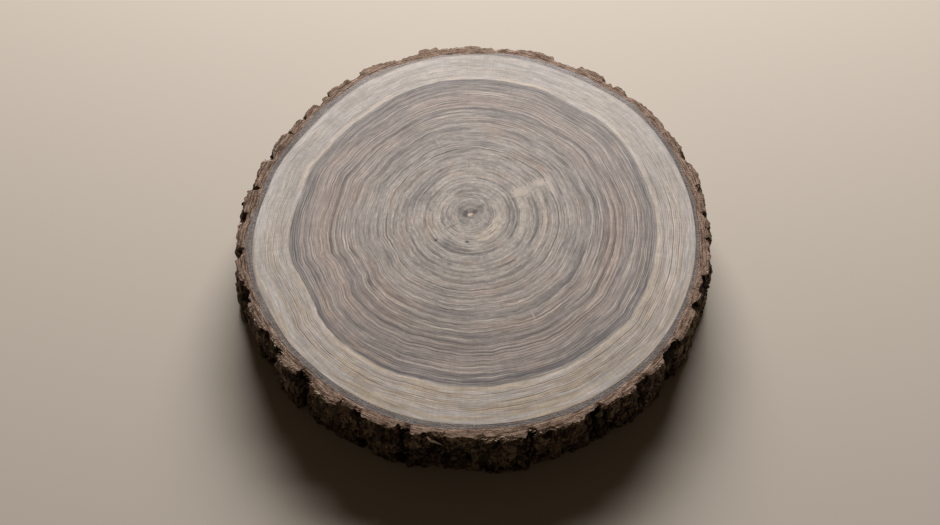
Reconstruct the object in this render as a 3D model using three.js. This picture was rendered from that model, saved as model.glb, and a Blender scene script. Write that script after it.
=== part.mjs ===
// A sawn slice of a tree trunk with its bark on: a wavy-edged disc of wood inside a ring of furrowed bark.
// Lengths are in millimetres and angles in degrees, anticlockwise from +X as seen from above. +Z is up.
// The slice lies flat. Its lower sawn face is at height 0, and the trunk's axis runs up through it.
import * as THREE from "three";

// Driving dimensions of the slice.
const THICKNESS = 45;
const WOOD_RADIUS = 141.3;
const SEAM_GAP = 0.3; // between the wood's rim and the inside of the bark
const CREVICE_FLOOR = 6.4; // thickness of the bark left at the bottom of a crevice

// Where the trunk was a little fuller or flatter than round: [angle, reach to each side, height].
const SWELLS = [
  [38, 13, 1.5],
  [60, 9, -0.9],
  [90, 20, 1.7],
  [145, 20, -5.0],
  [170, 8, -1.3],
  [195, 13, 2.6],
  [217, 6, 1.0],
  [278, 20, -0.9],
];

// The plates of bark where they meet the upper sawn face: [from angle, to angle, radius of the outer face].
// The spaces left between them are the open crevices, and the low ones are ledges.
const PLATES = [
  [4.2, 10.8, 150.8],
  [12.4, 19.8, 151.8],
  [19.8, 21.8, 148.6],
  [23.3, 33.8, 151.3],
  [33.9, 35.9, 149.6],
  [37.0, 43.5, 151.3],
  [43.6, 45.7, 148.2],
  [46.3, 50.2, 151.3],
  [50.4, 52.8, 149.0],
  [53.6, 62.4, 151.2],
  [62.5, 67.6, 147.9],
  [68.6, 79.8, 151.2],
  [79.9, 86.0, 149.0],
  [86.3, 91.5, 148.6],
  [92.0, 95.6, 150.2],
  [96.0, 99.2, 149.6],
  [100.2, 105.6, 151.7],
  [105.7, 111.0, 148.4],
  [111.9, 115.4, 149.0],
  [115.8, 122.3, 150.2],
  [122.4, 124.0, 147.6],
  [125.6, 132.8, 149.0],
  [132.9, 135.6, 147.4],
  [138.0, 142.6, 147.3],
  [143.9, 149.0, 147.4],
  [149.5, 156.6, 147.8],
  [159.2, 168.2, 149.4],
  [169.3, 177.0, 151.2],
  [179.2, 186.6, 152.8],
  [190.0, 196.8, 154.0],
  [196.9, 198.8, 150.5],
  [202.3, 209.6, 153.3],
  [209.8, 211.6, 151.0],
  [213.0, 215.8, 149.6],
  [218.3, 225.6, 153.6],
  [229.0, 236.8, 152.6],
  [236.9, 240.8, 150.3],
  [242.8, 251.2, 150.8],
  [254.6, 258.0, 151.2],
  [258.6, 263.0, 148.9],
  [263.4, 271.0, 149.0],
  [272.0, 279.8, 150.6],
  [284.4, 295.8, 150.3],
  [299.6, 305.6, 149.3],
  [306.0, 309.8, 150.6],
  [314.0, 319.4, 151.3],
  [325.0, 335.0, 151.2],
  [337.6, 341.0, 150.0],
  [345.9, 351.8, 151.0],
  [352.8, 355.9, 148.9],
  [356.5, 362.8, 150.1],
];

// How the bark changes on its way down from the upper sawn face.
const SHOULDER = 0.65; // angle over which a plate's side rises from its crevice
const WANDER = 1.2; // half of the angle over which a crevice may stray sideways
const WANDER_CELLS = 30; // strays round the rim
const WANDER_LAYER = 21; // height of one stray
const BELLY = 2.8; // how far the bark may stand out below the sawn edge, where it isn't chipped away
const BELLY_DEPTH = 9; // depth below the sawn edge at which it stands out fully
const BELLY_CELLS = 44;
const BREAK_STEP = 1.7; // furthest that a plate steps in or out where it has broken across
const BREAK_HEIGHT = 3; // height over which it does so
const PLATE_LEAN = 0.9; // furthest that one side of a plate stands out beyond the other
const CREVICE_FILL = 0.8; // share of the belly that fills the crevices too
const CREVICE_CLOSING = 0.8; // angle by which each side of a crevice closes in below the sawn edge
const FOOT_CHIP = 1.4; // furthest that the lower sawn edge is chipped back
const FOOT_HEIGHT = 6; // height up to which it is

// Fineness of the two solids.
const WOOD_COLUMNS = 180;
const WALL_ROWS = 12;
const PLATE_COLUMN_PITCH = 2.4; // widest angle between two columns on a plate's face
const OPEN_CREVICE = 1.2; // a crevice wider than this gets a column along its middle

const SEED = { wander: 3, belly: 7, breakAt: 11, breakStep: 13, lean: 17, foot: 19 };

const wood_finish = new THREE.MeshStandardMaterial({ color: 0xa89c8c, roughness: 0.72, metalness: 0 });
const bark_finish = new THREE.MeshStandardMaterial({ color: 0x5e4a3c, roughness: 0.95, metalness: 0 });

const radians = (degrees) => (degrees * Math.PI) / 180;
const mix = (a, b, share) => a + (b - a) * share;
const clamp01 = (x) => Math.min(1, Math.max(0, x));
const ease = (x) => x * x * (3 - 2 * x);
const turned = (degrees) => ((degrees % 360) + 360) % 360;

// A repeatable fraction from 0 to 1 for a whole number.
function scatter(n, seed) {
  const s = Math.sin(n * 127.1 + seed * 311.7) * 43758.5453;
  return s - Math.floor(s);
}

// Smooth unevenness from -1 to 1 over the wall of the slice, which closes on itself after a full turn.
function unevenness(degrees, height, cells, layer, seed) {
  const u = (turned(degrees) / 360) * cells;
  const v = height / layer;
  const i = Math.floor(u);
  const j = Math.floor(v);
  const corner = (a, b) => scatter(((i + a) % cells) + cells * (j + b), seed);
  const lower = mix(corner(0, 0), corner(1, 0), ease(u - i));
  const upper = mix(corner(0, 1), corner(1, 1), ease(u - i));
  return 2 * mix(lower, upper, ease(v - j)) - 1;
}

// Radius of the wood, without its bark.
function woodRadius(degrees) {
  let radius = WOOD_RADIUS;
  for (const [at, reach, height] of SWELLS) {
    const away = Math.abs(turned(degrees - at + 180) - 180) / reach;
    radius += height * Math.exp(-away * away);
  }
  return radius;
}

// The angle that a crevice has strayed to at a height, from its angle at the upper sawn face.
function strayedAngle(degrees, height) {
  const here = unevenness(degrees, height, WANDER_CELLS, WANDER_LAYER, SEED.wander);
  const top = unevenness(degrees, THICKNESS, WANDER_CELLS, WANDER_LAYER, SEED.wander);
  return degrees + WANDER * (here - top);
}

// Height at which a plate has broken across, and how far it steps there.
function plateBreak(index) {
  return {
    at: THICKNESS * mix(0.2, 0.75, scatter(index, SEED.breakAt)),
    step: BREAK_STEP * (2 * scatter(index, SEED.breakStep) - 1),
  };
}

// Radius of the bark, by the angle that its column has at the upper sawn face.
function barkRadius(degrees, height) {
  const floor = woodRadius(strayedAngle(degrees, height)) + CREVICE_FLOOR;
  const below = ease(clamp01((THICKNESS - height) / BELLY_DEPTH));
  let face = 0;
  PLATES.forEach(([from, to, radius], index) => {
    const past = turned(degrees - from + 180) - 180;
    const before = to - from - past;
    const near = clamp01((Math.min(past, before) + CREVICE_CLOSING * below) / SHOULDER);
    if (near <= 0) return;
    const broken = plateBreak(index);
    const step = broken.step * ease(clamp01((broken.at - height) / BREAK_HEIGHT + 0.5));
    const lean = PLATE_LEAN * (2 * scatter(index, SEED.lean) - 1) * (past / (to - from) - 0.5);
    const rise = radius + step + lean - floor;
    face = Math.max(face, rise * Math.sqrt(1 - (1 - near) ** 2));
  });
  const fullness = 0.5 + 0.5 * unevenness(degrees, height, BELLY_CELLS, WANDER_LAYER, SEED.belly);
  const belly = BELLY * below * fullness;
  const foot = ease(clamp01(1 - height / FOOT_HEIGHT));
  const chipped = clamp01(unevenness(degrees, 0, BELLY_CELLS, WANDER_LAYER, SEED.foot));
  return floor + face + belly * (face > 0 ? 1 : CREVICE_FILL) - FOOT_CHIP * foot * chipped;
}

// The angles of the wall's columns at the upper sawn face: the foot and shoulder of each plate, its face and its crevice.
function columnAngles() {
  const angles = [];
  PLATES.forEach(([from, to], index) => {
    const start = from + SHOULDER;
    const end = to - SHOULDER;
    const faces = Math.max(1, Math.ceil((end - start) / PLATE_COLUMN_PITCH));
    angles.push(from);
    for (let k = 0; k <= faces; k++) angles.push(mix(start, end, k / faces));
    const next = index + 1 < PLATES.length ? PLATES[index + 1][0] : PLATES[0][0] + 360;
    if (next - to > SHOULDER) angles.push(to);
    if (next - to > OPEN_CREVICE) angles.push((to + next) / 2);
  });
  return angles;
}

// Turns a profile of [radius, height] rows round the trunk's axis, then moves each point by its column and row.
function turnedSolid(profile, columns, place) {
  const rows = profile.map(([radius, height]) => new THREE.Vector2(radius, height));
  const geometry = new THREE.LatheGeometry(rows, columns);
  const position = geometry.getAttribute("position");
  for (let column = 0; column <= columns; column++) {
    for (let row = 0; row < rows.length; row++) {
      const { angle, radius, height } = place(column % columns, row);
      const at = radians(angle);
      position.setXYZ(column * rows.length + row, radius * Math.cos(at), radius * Math.sin(at), height);
    }
  }
  geometry.computeVertexNormals();
  return geometry;
}

// The disc of wood, from the axis out along the lower face, up the rim and back along the upper face.
function woodDisc() {
  const rim = WOOD_RADIUS - SEAM_GAP;
  const profile = [[0, 0], [rim, 0], [rim, THICKNESS], [0, THICKNESS]];
  return turnedSolid(profile, WOOD_COLUMNS, (column, row) => {
    const angle = (column / WOOD_COLUMNS) * 360;
    const [along, height] = profile[row];
    return { angle, radius: along > 0 ? woodRadius(angle) - SEAM_GAP : 0, height };
  });
}

// The ring of bark, from its inner lower edge out along the sawn face, up the furrowed wall and back.
function barkRing() {
  const angles = columnAngles();
  const wall = Array.from({ length: WALL_ROWS + 1 }, (_, row) => (row / WALL_ROWS) * THICKNESS);
  const outer = WOOD_RADIUS + CREVICE_FLOOR;
  const profile = [[WOOD_RADIUS, 0], ...wall.map((z) => [outer, z]), [WOOD_RADIUS, THICKNESS], [WOOD_RADIUS, 0]];
  return turnedSolid(profile, angles.length, (column, row) => {
    const height = profile[row][1];
    const angle = strayedAngle(angles[column], height);
    const onWall = row >= 1 && row <= wall.length;
    return { angle, radius: onWall ? barkRadius(angles[column], height) : woodRadius(angle), height };
  });
}

// A named piece of the slice.
function piece(name, geometry, finish) {
  const mesh = new THREE.Mesh(geometry, finish);
  mesh.name = name;
  return mesh;
}

const slice = new THREE.Group();
slice.add(piece("wood", woodDisc(), wood_finish));
slice.add(piece("bark", barkRing(), bark_finish));

// The slice stands with the middle of its outline on the origin.
const outline = new THREE.Box3().setFromObject(slice);
const middle = outline.getCenter(new THREE.Vector3());
slice.children.forEach((mesh) => mesh.geometry.translate(-middle.x, -middle.y, 0));

export default slice;
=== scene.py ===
"""Dresses a sawn slice of a tree trunk: end grain with its growth rings, inside a ring of furrowed bark.

Lengths in the classes are in millimetres and angles in degrees, anticlockwise from +X as seen from
above. Meshes are made in metres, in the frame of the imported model.
"""

from __future__ import annotations

import logging
import math
from collections.abc import Mapping, Sequence
from dataclasses import dataclass
from enum import Enum
from typing import Union

import bmesh
import bpy
import numpy as np
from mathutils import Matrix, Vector

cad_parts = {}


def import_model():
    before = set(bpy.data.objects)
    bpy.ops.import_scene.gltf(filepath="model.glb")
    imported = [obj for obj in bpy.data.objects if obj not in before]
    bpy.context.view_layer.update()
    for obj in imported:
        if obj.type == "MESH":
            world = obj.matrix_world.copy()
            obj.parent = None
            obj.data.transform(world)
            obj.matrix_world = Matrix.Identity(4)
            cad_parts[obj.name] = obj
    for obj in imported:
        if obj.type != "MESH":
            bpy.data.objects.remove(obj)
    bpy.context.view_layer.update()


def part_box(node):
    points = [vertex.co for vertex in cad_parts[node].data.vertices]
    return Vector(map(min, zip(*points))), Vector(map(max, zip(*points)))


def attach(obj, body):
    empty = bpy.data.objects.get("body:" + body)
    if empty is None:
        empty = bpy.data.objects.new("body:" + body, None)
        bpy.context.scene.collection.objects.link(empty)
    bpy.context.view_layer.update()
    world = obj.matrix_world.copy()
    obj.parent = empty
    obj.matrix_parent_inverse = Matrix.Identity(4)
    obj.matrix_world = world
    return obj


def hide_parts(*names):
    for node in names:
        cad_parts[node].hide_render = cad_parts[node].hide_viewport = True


LOG = logging.getLogger("wood_slice")
MM = 0.001
PHOTO_WIDTH = 940  # pixels

Rgb = tuple[float, float, float]
Values = Union[np.ndarray, float]
Socket = bpy.types.NodeSocket
Material = bpy.types.Material
Object = bpy.types.Object
Feed = Union[Socket, Material, Sequence[float], float, int]


def srgb(red: float, green: float, blue: float) -> Rgb:
    """Turns a display colour into the linear one that shaders use.

    Args:
        red: The red channel, from 0 to 255.
        green: The green channel.
        blue: The blue channel.

    Returns:
        The linear colour, from 0 to 1 a channel.
    """
    shares = (channel / 255 for channel in (red, green, blue))
    return tuple(share / 12.92 if share <= 0.04045 else ((share + 0.055) / 1.055) ** 2.4 for share in shares)


def ease(x: Values) -> Values:
    """Keeps a share from 0 to 1, and eases it in and out."""
    x = np.clip(x, 0, 1)
    return x * x * (3 - 2 * x)


def scatter(n: Values, seed: float) -> Values:
    """Gives each whole number a repeatable fraction from 0 to 1."""
    s = np.sin(n * 127.1 + seed * 311.7) * 43758.5453
    return s - np.floor(s)


def turn_past(degrees: Values, at: float) -> Values:
    """Gives how far an angle is past another, from -180 to 180."""
    return (degrees - at + 180) % 360 - 180


def unevenness(degrees: Values, height: Values, cells: int, layer: float, seed: float) -> Values:
    """Gives smooth unevenness over the wall of the slice, which closes on itself after a full turn.

    Args:
        degrees: Angle round the trunk.
        height: Height above the lower sawn face.
        cells: How many bumps there are round the trunk.
        layer: How tall a bump is.
        seed: Which pattern it is.

    Returns:
        Values from -1 to 1, in the broadcast shape of degrees and height.
    """
    u = (degrees % 360) / 360 * cells
    v = height / layer
    i, j = np.floor(u), np.floor(v)

    def corner(a: int, b: int) -> Values:
        """Draws the value at one corner of each bump."""
        return scatter(((i + a) % cells) + cells * (j + b), seed)

    along, up = ease(u - i), ease(v - j)
    lower = corner(0, 0) * (1 - along) + corner(1, 0) * along
    upper = corner(0, 1) * (1 - along) + corner(1, 1) * along
    return 2 * (lower * (1 - up) + upper * up) - 1


class Kind(Enum):
    """What an input or output of a node group carries."""

    COLOUR = "NodeSocketColor"
    FLOAT = "NodeSocketFloat"
    GEOMETRY = "NodeSocketGeometry"
    INT = "NodeSocketInt"
    MATERIAL = "NodeSocketMaterial"
    VECTOR = "NodeSocketVector"


class Graph:
    """Places and links nodes in one tree of shader or geometry nodes."""

    COLUMN = 8

    def __init__(self, tree: bpy.types.NodeTree) -> None:
        """Takes the tree that the nodes go in."""
        self.tree = tree

    def add(
        self, kind: str, feeds: Mapping[str | int, Feed] | None = None, **settings: object
    ) -> bpy.types.Node:
        """Adds a node.

        Args:
            kind: The node's type name.
            feeds: What goes into its inputs, by name or number: a socket or a constant.
            **settings: The node's own settings.

        Returns:
            The new node.
        """
        count = len(self.tree.nodes)
        node = self.tree.nodes.new(kind)
        node.location = (count // self.COLUMN * 220, -(count % self.COLUMN) * 170)
        for name, value in settings.items():
            setattr(node, name, value)
        for name, feed in (feeds or {}).items():
            if isinstance(feed, Socket):
                self.tree.links.new(feed, node.inputs[name])
            else:
                node.inputs[name].default_value = feed
        return node

    def one(self, kind: str, feeds: Mapping[str | int, Feed] | None = None, **settings: object) -> Socket:
        """Adds a node as add() does, and returns its first output."""
        return self.add(kind, feeds, **settings).outputs[0]

    def math(self, operation: str, a: Feed, b: Feed = 0.0, c: Feed = 0.0, clamp: bool = False) -> Socket:
        """Adds a sum of up to three values.

        Args:
            operation: Which sum it is.
            a: The first value.
            b: The second value, where the sum has one.
            c: The third value, where the sum has one.
            clamp: Whether the result is kept from 0 to 1.

        Returns:
            The result's socket.
        """
        return self.one("ShaderNodeMath", {0: a, 1: b, 2: c}, operation=operation, use_clamp=clamp)

    def times(self, first: Feed, *others: Feed, clamp: bool = False) -> Socket:
        """Multiplies values.

        Args:
            first: The first value.
            *others: What it is multiplied by, in turn.
            clamp: Whether the results are kept from 0 to 1.

        Returns:
            The result's socket.
        """
        for other in others:
            first = self.math("MULTIPLY", first, other, clamp=clamp)
        return first

    def rest(self, value: Feed) -> Socket:
        """Takes a value from 1."""
        return self.math("SUBTRACT", 1.0, value)

    def apart(self, a: Feed, b: Feed) -> Socket:
        """Gives how far two values are apart."""
        return self.math("ABSOLUTE", self.math("SUBTRACT", a, b))

    def vector_math(self, operation: str, a: Feed, b: Feed = (0, 0, 0), c: Feed = (0, 0, 0)) -> Socket:
        """Adds a sum of vectors.

        Args:
            operation: Which sum it is.
            a: The first vector.
            b: The second vector, where the sum has one.
            c: The third vector, where the sum has one.

        Returns:
            The socket of the resulting vector.
        """
        feeds = {0: a, 1: b, 2: c} if operation == "MULTIPLY_ADD" else {0: a, 1: b}
        return self.one("ShaderNodeVectorMath", feeds, operation=operation)

    def scaled(self, vector: Feed, by: Feed) -> Socket:
        """Scales a vector."""
        return self.one("ShaderNodeVectorMath", {0: vector, "Scale": by}, operation="SCALE")

    def upward(self, height: Feed) -> Socket:
        """Makes a vector that points up."""
        return self.one("ShaderNodeCombineXYZ", {2: height})

    def axes(self, vector: Feed) -> Sequence[Socket]:
        """Takes a vector apart."""
        return self.add("ShaderNodeSeparateXYZ", {0: vector}).outputs

    def spread(self, value: Feed, low: Feed, high: Feed, to_low: float = 0.0, to_high: float = 1.0) -> Socket:
        """Maps a value from one range to another with soft ends, and keeps it in the second.

        Args:
            value: The value to map.
            low: Where the first range starts.
            high: Where it ends.
            to_low: The result at its start.
            to_high: The result at its end.

        Returns:
            The result's socket.
        """
        feeds = {0: value, 1: low, 2: high, 3: to_low, 4: to_high}
        return self.one("ShaderNodeMapRange", feeds, interpolation_type="SMOOTHSTEP")

    def toward(self, turn: Feed, at: float, reach: float, core: float, strength: float = 1.0) -> Socket:
        """Marks a stretch of directions, soft at its ends.

        Args:
            turn: Each place's direction.
            at: The angle of the stretch's middle.
            reach: How far it reaches to each side.
            core: The share of the reach that is marked in full.
            strength: How much that is.

        Returns:
            The socket of the mark.
        """
        way = (math.cos(math.radians(at)), math.sin(math.radians(at)), 0.0)
        facing = self.add("ShaderNodeVectorMath", {0: turn, 1: way}, operation="DOT_PRODUCT").outputs["Value"]
        ends = (math.cos(math.radians(reach)), math.cos(math.radians(reach * core)))
        return self.spread(facing, *ends, 0.0, strength)

    def mix(self, share: Feed, a: Feed, b: Feed, blend: str = "MIX") -> Socket:
        """Mixes two colours.

        Args:
            share: How much of the second there is.
            a: The first colour.
            b: The second colour.
            blend: How they mix.

        Returns:
            The result's socket.
        """
        feeds = {6: a, 7: b}
        feeds = {at: (*feed, 1.0) if isinstance(feed, tuple) else feed for at, feed in feeds.items()}
        node = self.add("ShaderNodeMix", {0: share, **feeds}, data_type="RGBA", blend_type=blend)
        return node.outputs[2]

    def coats(self, colour: Feed, *coats: tuple[Feed, Feed]) -> Socket:
        """Lays colours over a colour, one after another.

        Args:
            colour: The colour beneath.
            *coats: How much there is of each further colour, and that colour.

        Returns:
            The result's socket.
        """
        for share, tone in coats:
            colour = self.mix(share, colour, tone)
        return colour

    def lit(self, colour: Feed, gain: Feed) -> Socket:
        """Makes a colour lighter or darker by a factor."""
        grey = self.one("ShaderNodeCombineColor", {0: gain, 1: gain, 2: gain})
        return self.mix(1.0, colour, grey, "MULTIPLY")

    def noise(
        self, vector: Feed, scale: Feed, detail: float = 2.0, rough: float = 0.5, warp: float = 0.0
    ) -> Socket:
        """Adds a noise texture.

        Args:
            vector: Where it is read.
            scale: How many features there are to a unit.
            detail: How many finer layers it has.
            rough: How strong these are.
            warp: How far it is warped.

        Returns:
            The socket of its value, which lies round 0.5.
        """
        feeds = {"Vector": vector, "Scale": scale, "Detail": detail, "Roughness": rough, "Distortion": warp}
        return self.one("ShaderNodeTexNoise", feeds)

    def ramp(self, value: Feed, stops: Sequence[tuple[float, Rgb]]) -> Socket:
        """Adds a colour ramp.

        Args:
            value: Where on the ramp it is read.
            stops: Each stop's place and colour, in order.

        Returns:
            The colour's socket.
        """
        node = self.add("ShaderNodeValToRGB", {0: value})
        elements = node.color_ramp.elements
        while len(elements) > 1:
            elements.remove(elements[-1])
        for number, (at, colour) in enumerate(stops):
            element = elements[0] if number == 0 else elements.new(at)
            element.position = at
            element.color = (*colour, 1.0)
        return node.outputs[0]


class NodeGroup(Graph):
    """A node tree of its own, with named inputs and outputs."""

    def __init__(
        self,
        name: str,
        inputs: Mapping[str, Kind | float],
        outputs: Mapping[str, Kind],
        sort: str = "ShaderNodeTree",
    ) -> None:
        """Makes the group with its inputs.

        Args:
            name: The group's name.
            inputs: Each input's kind, or its default where that is a number, by name.
            outputs: Each output's kind, by name.
            sort: The type of tree.
        """
        super().__init__(bpy.data.node_groups.new(name, sort))
        for label, preset in inputs.items():
            kind = preset
            if not isinstance(preset, Kind):
                kind = Kind.INT if isinstance(preset, int) else Kind.FLOAT
            socket = self.tree.interface.new_socket(label, in_out="INPUT", socket_type=kind.value)
            if kind is not preset:
                socket.default_value = preset
        for label, kind in outputs.items():
            self.tree.interface.new_socket(label, in_out="OUTPUT", socket_type=kind.value)
        self.given = self.add("NodeGroupInput").outputs

    def give(self, results: Mapping[str, Feed]) -> NodeGroup:
        """Sets what comes out of the group, by name, and returns the group."""
        self.add("NodeGroupOutput", results)
        return self


class SharedEffects:
    """The effects that several finishes have in common, as node groups."""

    def __init__(self) -> None:
        """Makes each group once."""
        self.mottle = self._mottle()
        self.grit = self._grit()
        self.dust = self._dust()

    @staticmethod
    def _mottle() -> NodeGroup:
        """Makes soft patches of lighter and darker tone.

        Returns:
            The group.
        """
        inputs = {"Colour": Kind.COLOUR, "Place": Kind.VECTOR, "Patches per metre": 60.0, "Strength": 0.2}
        group = NodeGroup("mottle", inputs, {"Colour": Kind.COLOUR})
        patches = group.noise(group.given["Place"], group.given["Patches per metre"], 4, 0.6)
        swing = group.times(group.math("SUBTRACT", patches, 0.5), group.given["Strength"])
        gain = group.math("MULTIPLY_ADD", swing, 4.0, 1.0)
        return group.give({"Colour": group.lit(group.given["Colour"], gain)})

    @staticmethod
    def _grit() -> NodeGroup:
        """Makes the fine roughness of cut fibres, as a height and as a mask of dark pores.

        Returns:
            The group.
        """
        inputs = {"Place": Kind.VECTOR, "Grains per metre": 900.0, "Pore share": 0.4}
        group = NodeGroup("grit", inputs, {"Height": Kind.FLOAT, "Pores": Kind.FLOAT})
        share = group.given["Pore share"]
        grains = group.noise(group.given["Place"], group.given["Grains per metre"], 3, 0.65)
        pores = group.spread(grains, share, group.math("ADD", share, -0.08))
        return group.give({"Height": grains, "Pores": pores})

    @staticmethod
    def _dust() -> NodeGroup:
        """Makes pale sawdust and weathering that lies on raised parts.

        Returns:
            The group.
        """
        inputs = {
            "Colour": Kind.COLOUR,
            "Dust colour": Kind.COLOUR,
            "Place": Kind.VECTOR,
            "Raised": 0.5,
            "Amount": 0.3,
        }
        group = NodeGroup("dust", inputs, {"Colour": Kind.COLOUR, "Mask": Kind.FLOAT})
        given = group.given
        specks = group.spread(group.noise(given["Place"], 420.0, 5, 0.7), 0.42, 0.68)
        patches = group.spread(group.noise(given["Place"], 45.0), 0.35, 0.7)
        cover = group.times(specks, patches, given["Raised"], given["Amount"], clamp=True)
        return group.give({"Colour": group.mix(cover, given["Colour"], given["Dust colour"]), "Mask": cover})


class Surface(Graph):
    """The nodes of one material."""

    def __init__(self, name: str, effects: SharedEffects | None = None) -> None:
        """Makes an empty material.

        Args:
            name: The material's name.
            effects: The shared groups, where it uses them.
        """
        self.material = bpy.data.materials.new(name)
        self.material.use_nodes = True
        self.material.node_tree.nodes.clear()
        super().__init__(self.material.node_tree)
        self.effects = effects
        self.place = self.add("ShaderNodeTexCoord").outputs["Object"]

    def value(self, name: str) -> Socket:
        """Reads one of the mesh's own values."""
        return self.add("ShaderNodeAttribute", attribute_name=name).outputs["Fac"]

    def stretched(self, rise: float) -> Socket:
        """Gives each place with its height scaled, which stretches a pattern upright."""
        return self.vector_math("MULTIPLY", self.place, (1.0, 1.0, rise))

    def group(self, group: NodeGroup, feeds: Mapping[str, Feed]) -> Mapping[str, Socket]:
        """Places a group and returns its outputs."""
        return self.add("ShaderNodeGroup", feeds, node_tree=group.tree).outputs

    def mottled(self, colour: Feed, per_metre: float, strength: float) -> Socket:
        """Lays soft patches of lighter and darker tone over a colour.

        Args:
            colour: The colour.
            per_metre: How many patches there are to a metre.
            strength: How strong they are.

        Returns:
            The result's socket.
        """
        feeds = {"Colour": colour, "Place": self.place, "Patches per metre": per_metre, "Strength": strength}
        return self.group(self.effects.mottle, feeds)["Colour"]

    def grit(self, per_metre: float, pore_share: float, place: Feed | None = None) -> tuple[Socket, Socket]:
        """Adds the fine roughness of cut fibres.

        Args:
            per_metre: How many grains there are to a metre.
            pore_share: How much of it is pores.
            place: Where it is read, or None for the object's own coordinates.

        Returns:
            The sockets of its height and of its dark pores.
        """
        place = self.place if place is None else place
        feeds = {"Place": place, "Grains per metre": per_metre, "Pore share": pore_share}
        outputs = self.group(self.effects.grit, feeds)
        return outputs["Height"], outputs["Pores"]

    def close(self, colour: Feed, roughness: Feed, height: Feed, depth: float, specular: float) -> Material:
        """Adds the surface shader and the output.

        Args:
            colour: The base colour.
            roughness: The roughness.
            height: The height that the bump is read from.
            depth: How deep a full step of that height is, in metres.
            specular: How strongly the surface mirrors light.

        Returns:
            The finished material.
        """
        bump = self.one("ShaderNodeBump", {"Height": height, "Distance": depth, "Strength": 1.0})
        feeds = {"Base Color": colour, "Roughness": roughness, "Normal": bump, "Specular IOR Level": specular}
        self.add("ShaderNodeOutputMaterial", {"Surface": self.one("ShaderNodeBsdfPrincipled", feeds)})
        return self.material


@dataclass(frozen=True)
class StrongRing:
    """A dark growth ring that can be followed nearly all the way round."""

    share: float  # of the way from the pith to the wood's rim
    width: float
    darkness: float


@dataclass(frozen=True)
class Spot:
    """A small mark on the end grain, soft at its edge."""

    at: tuple[float, float]  # from the pith
    reach: tuple[float, float]  # along and across
    lean: float = 0.0
    strength: float = 1.0


@dataclass(frozen=True)
class Arc:
    """A stretch of a few growth rings with a tone of its own."""

    at: float
    reach: float  # to each side
    share: float  # of the way from the pith to the rim
    width: float  # to each side
    tone: Rgb
    strength: float


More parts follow.
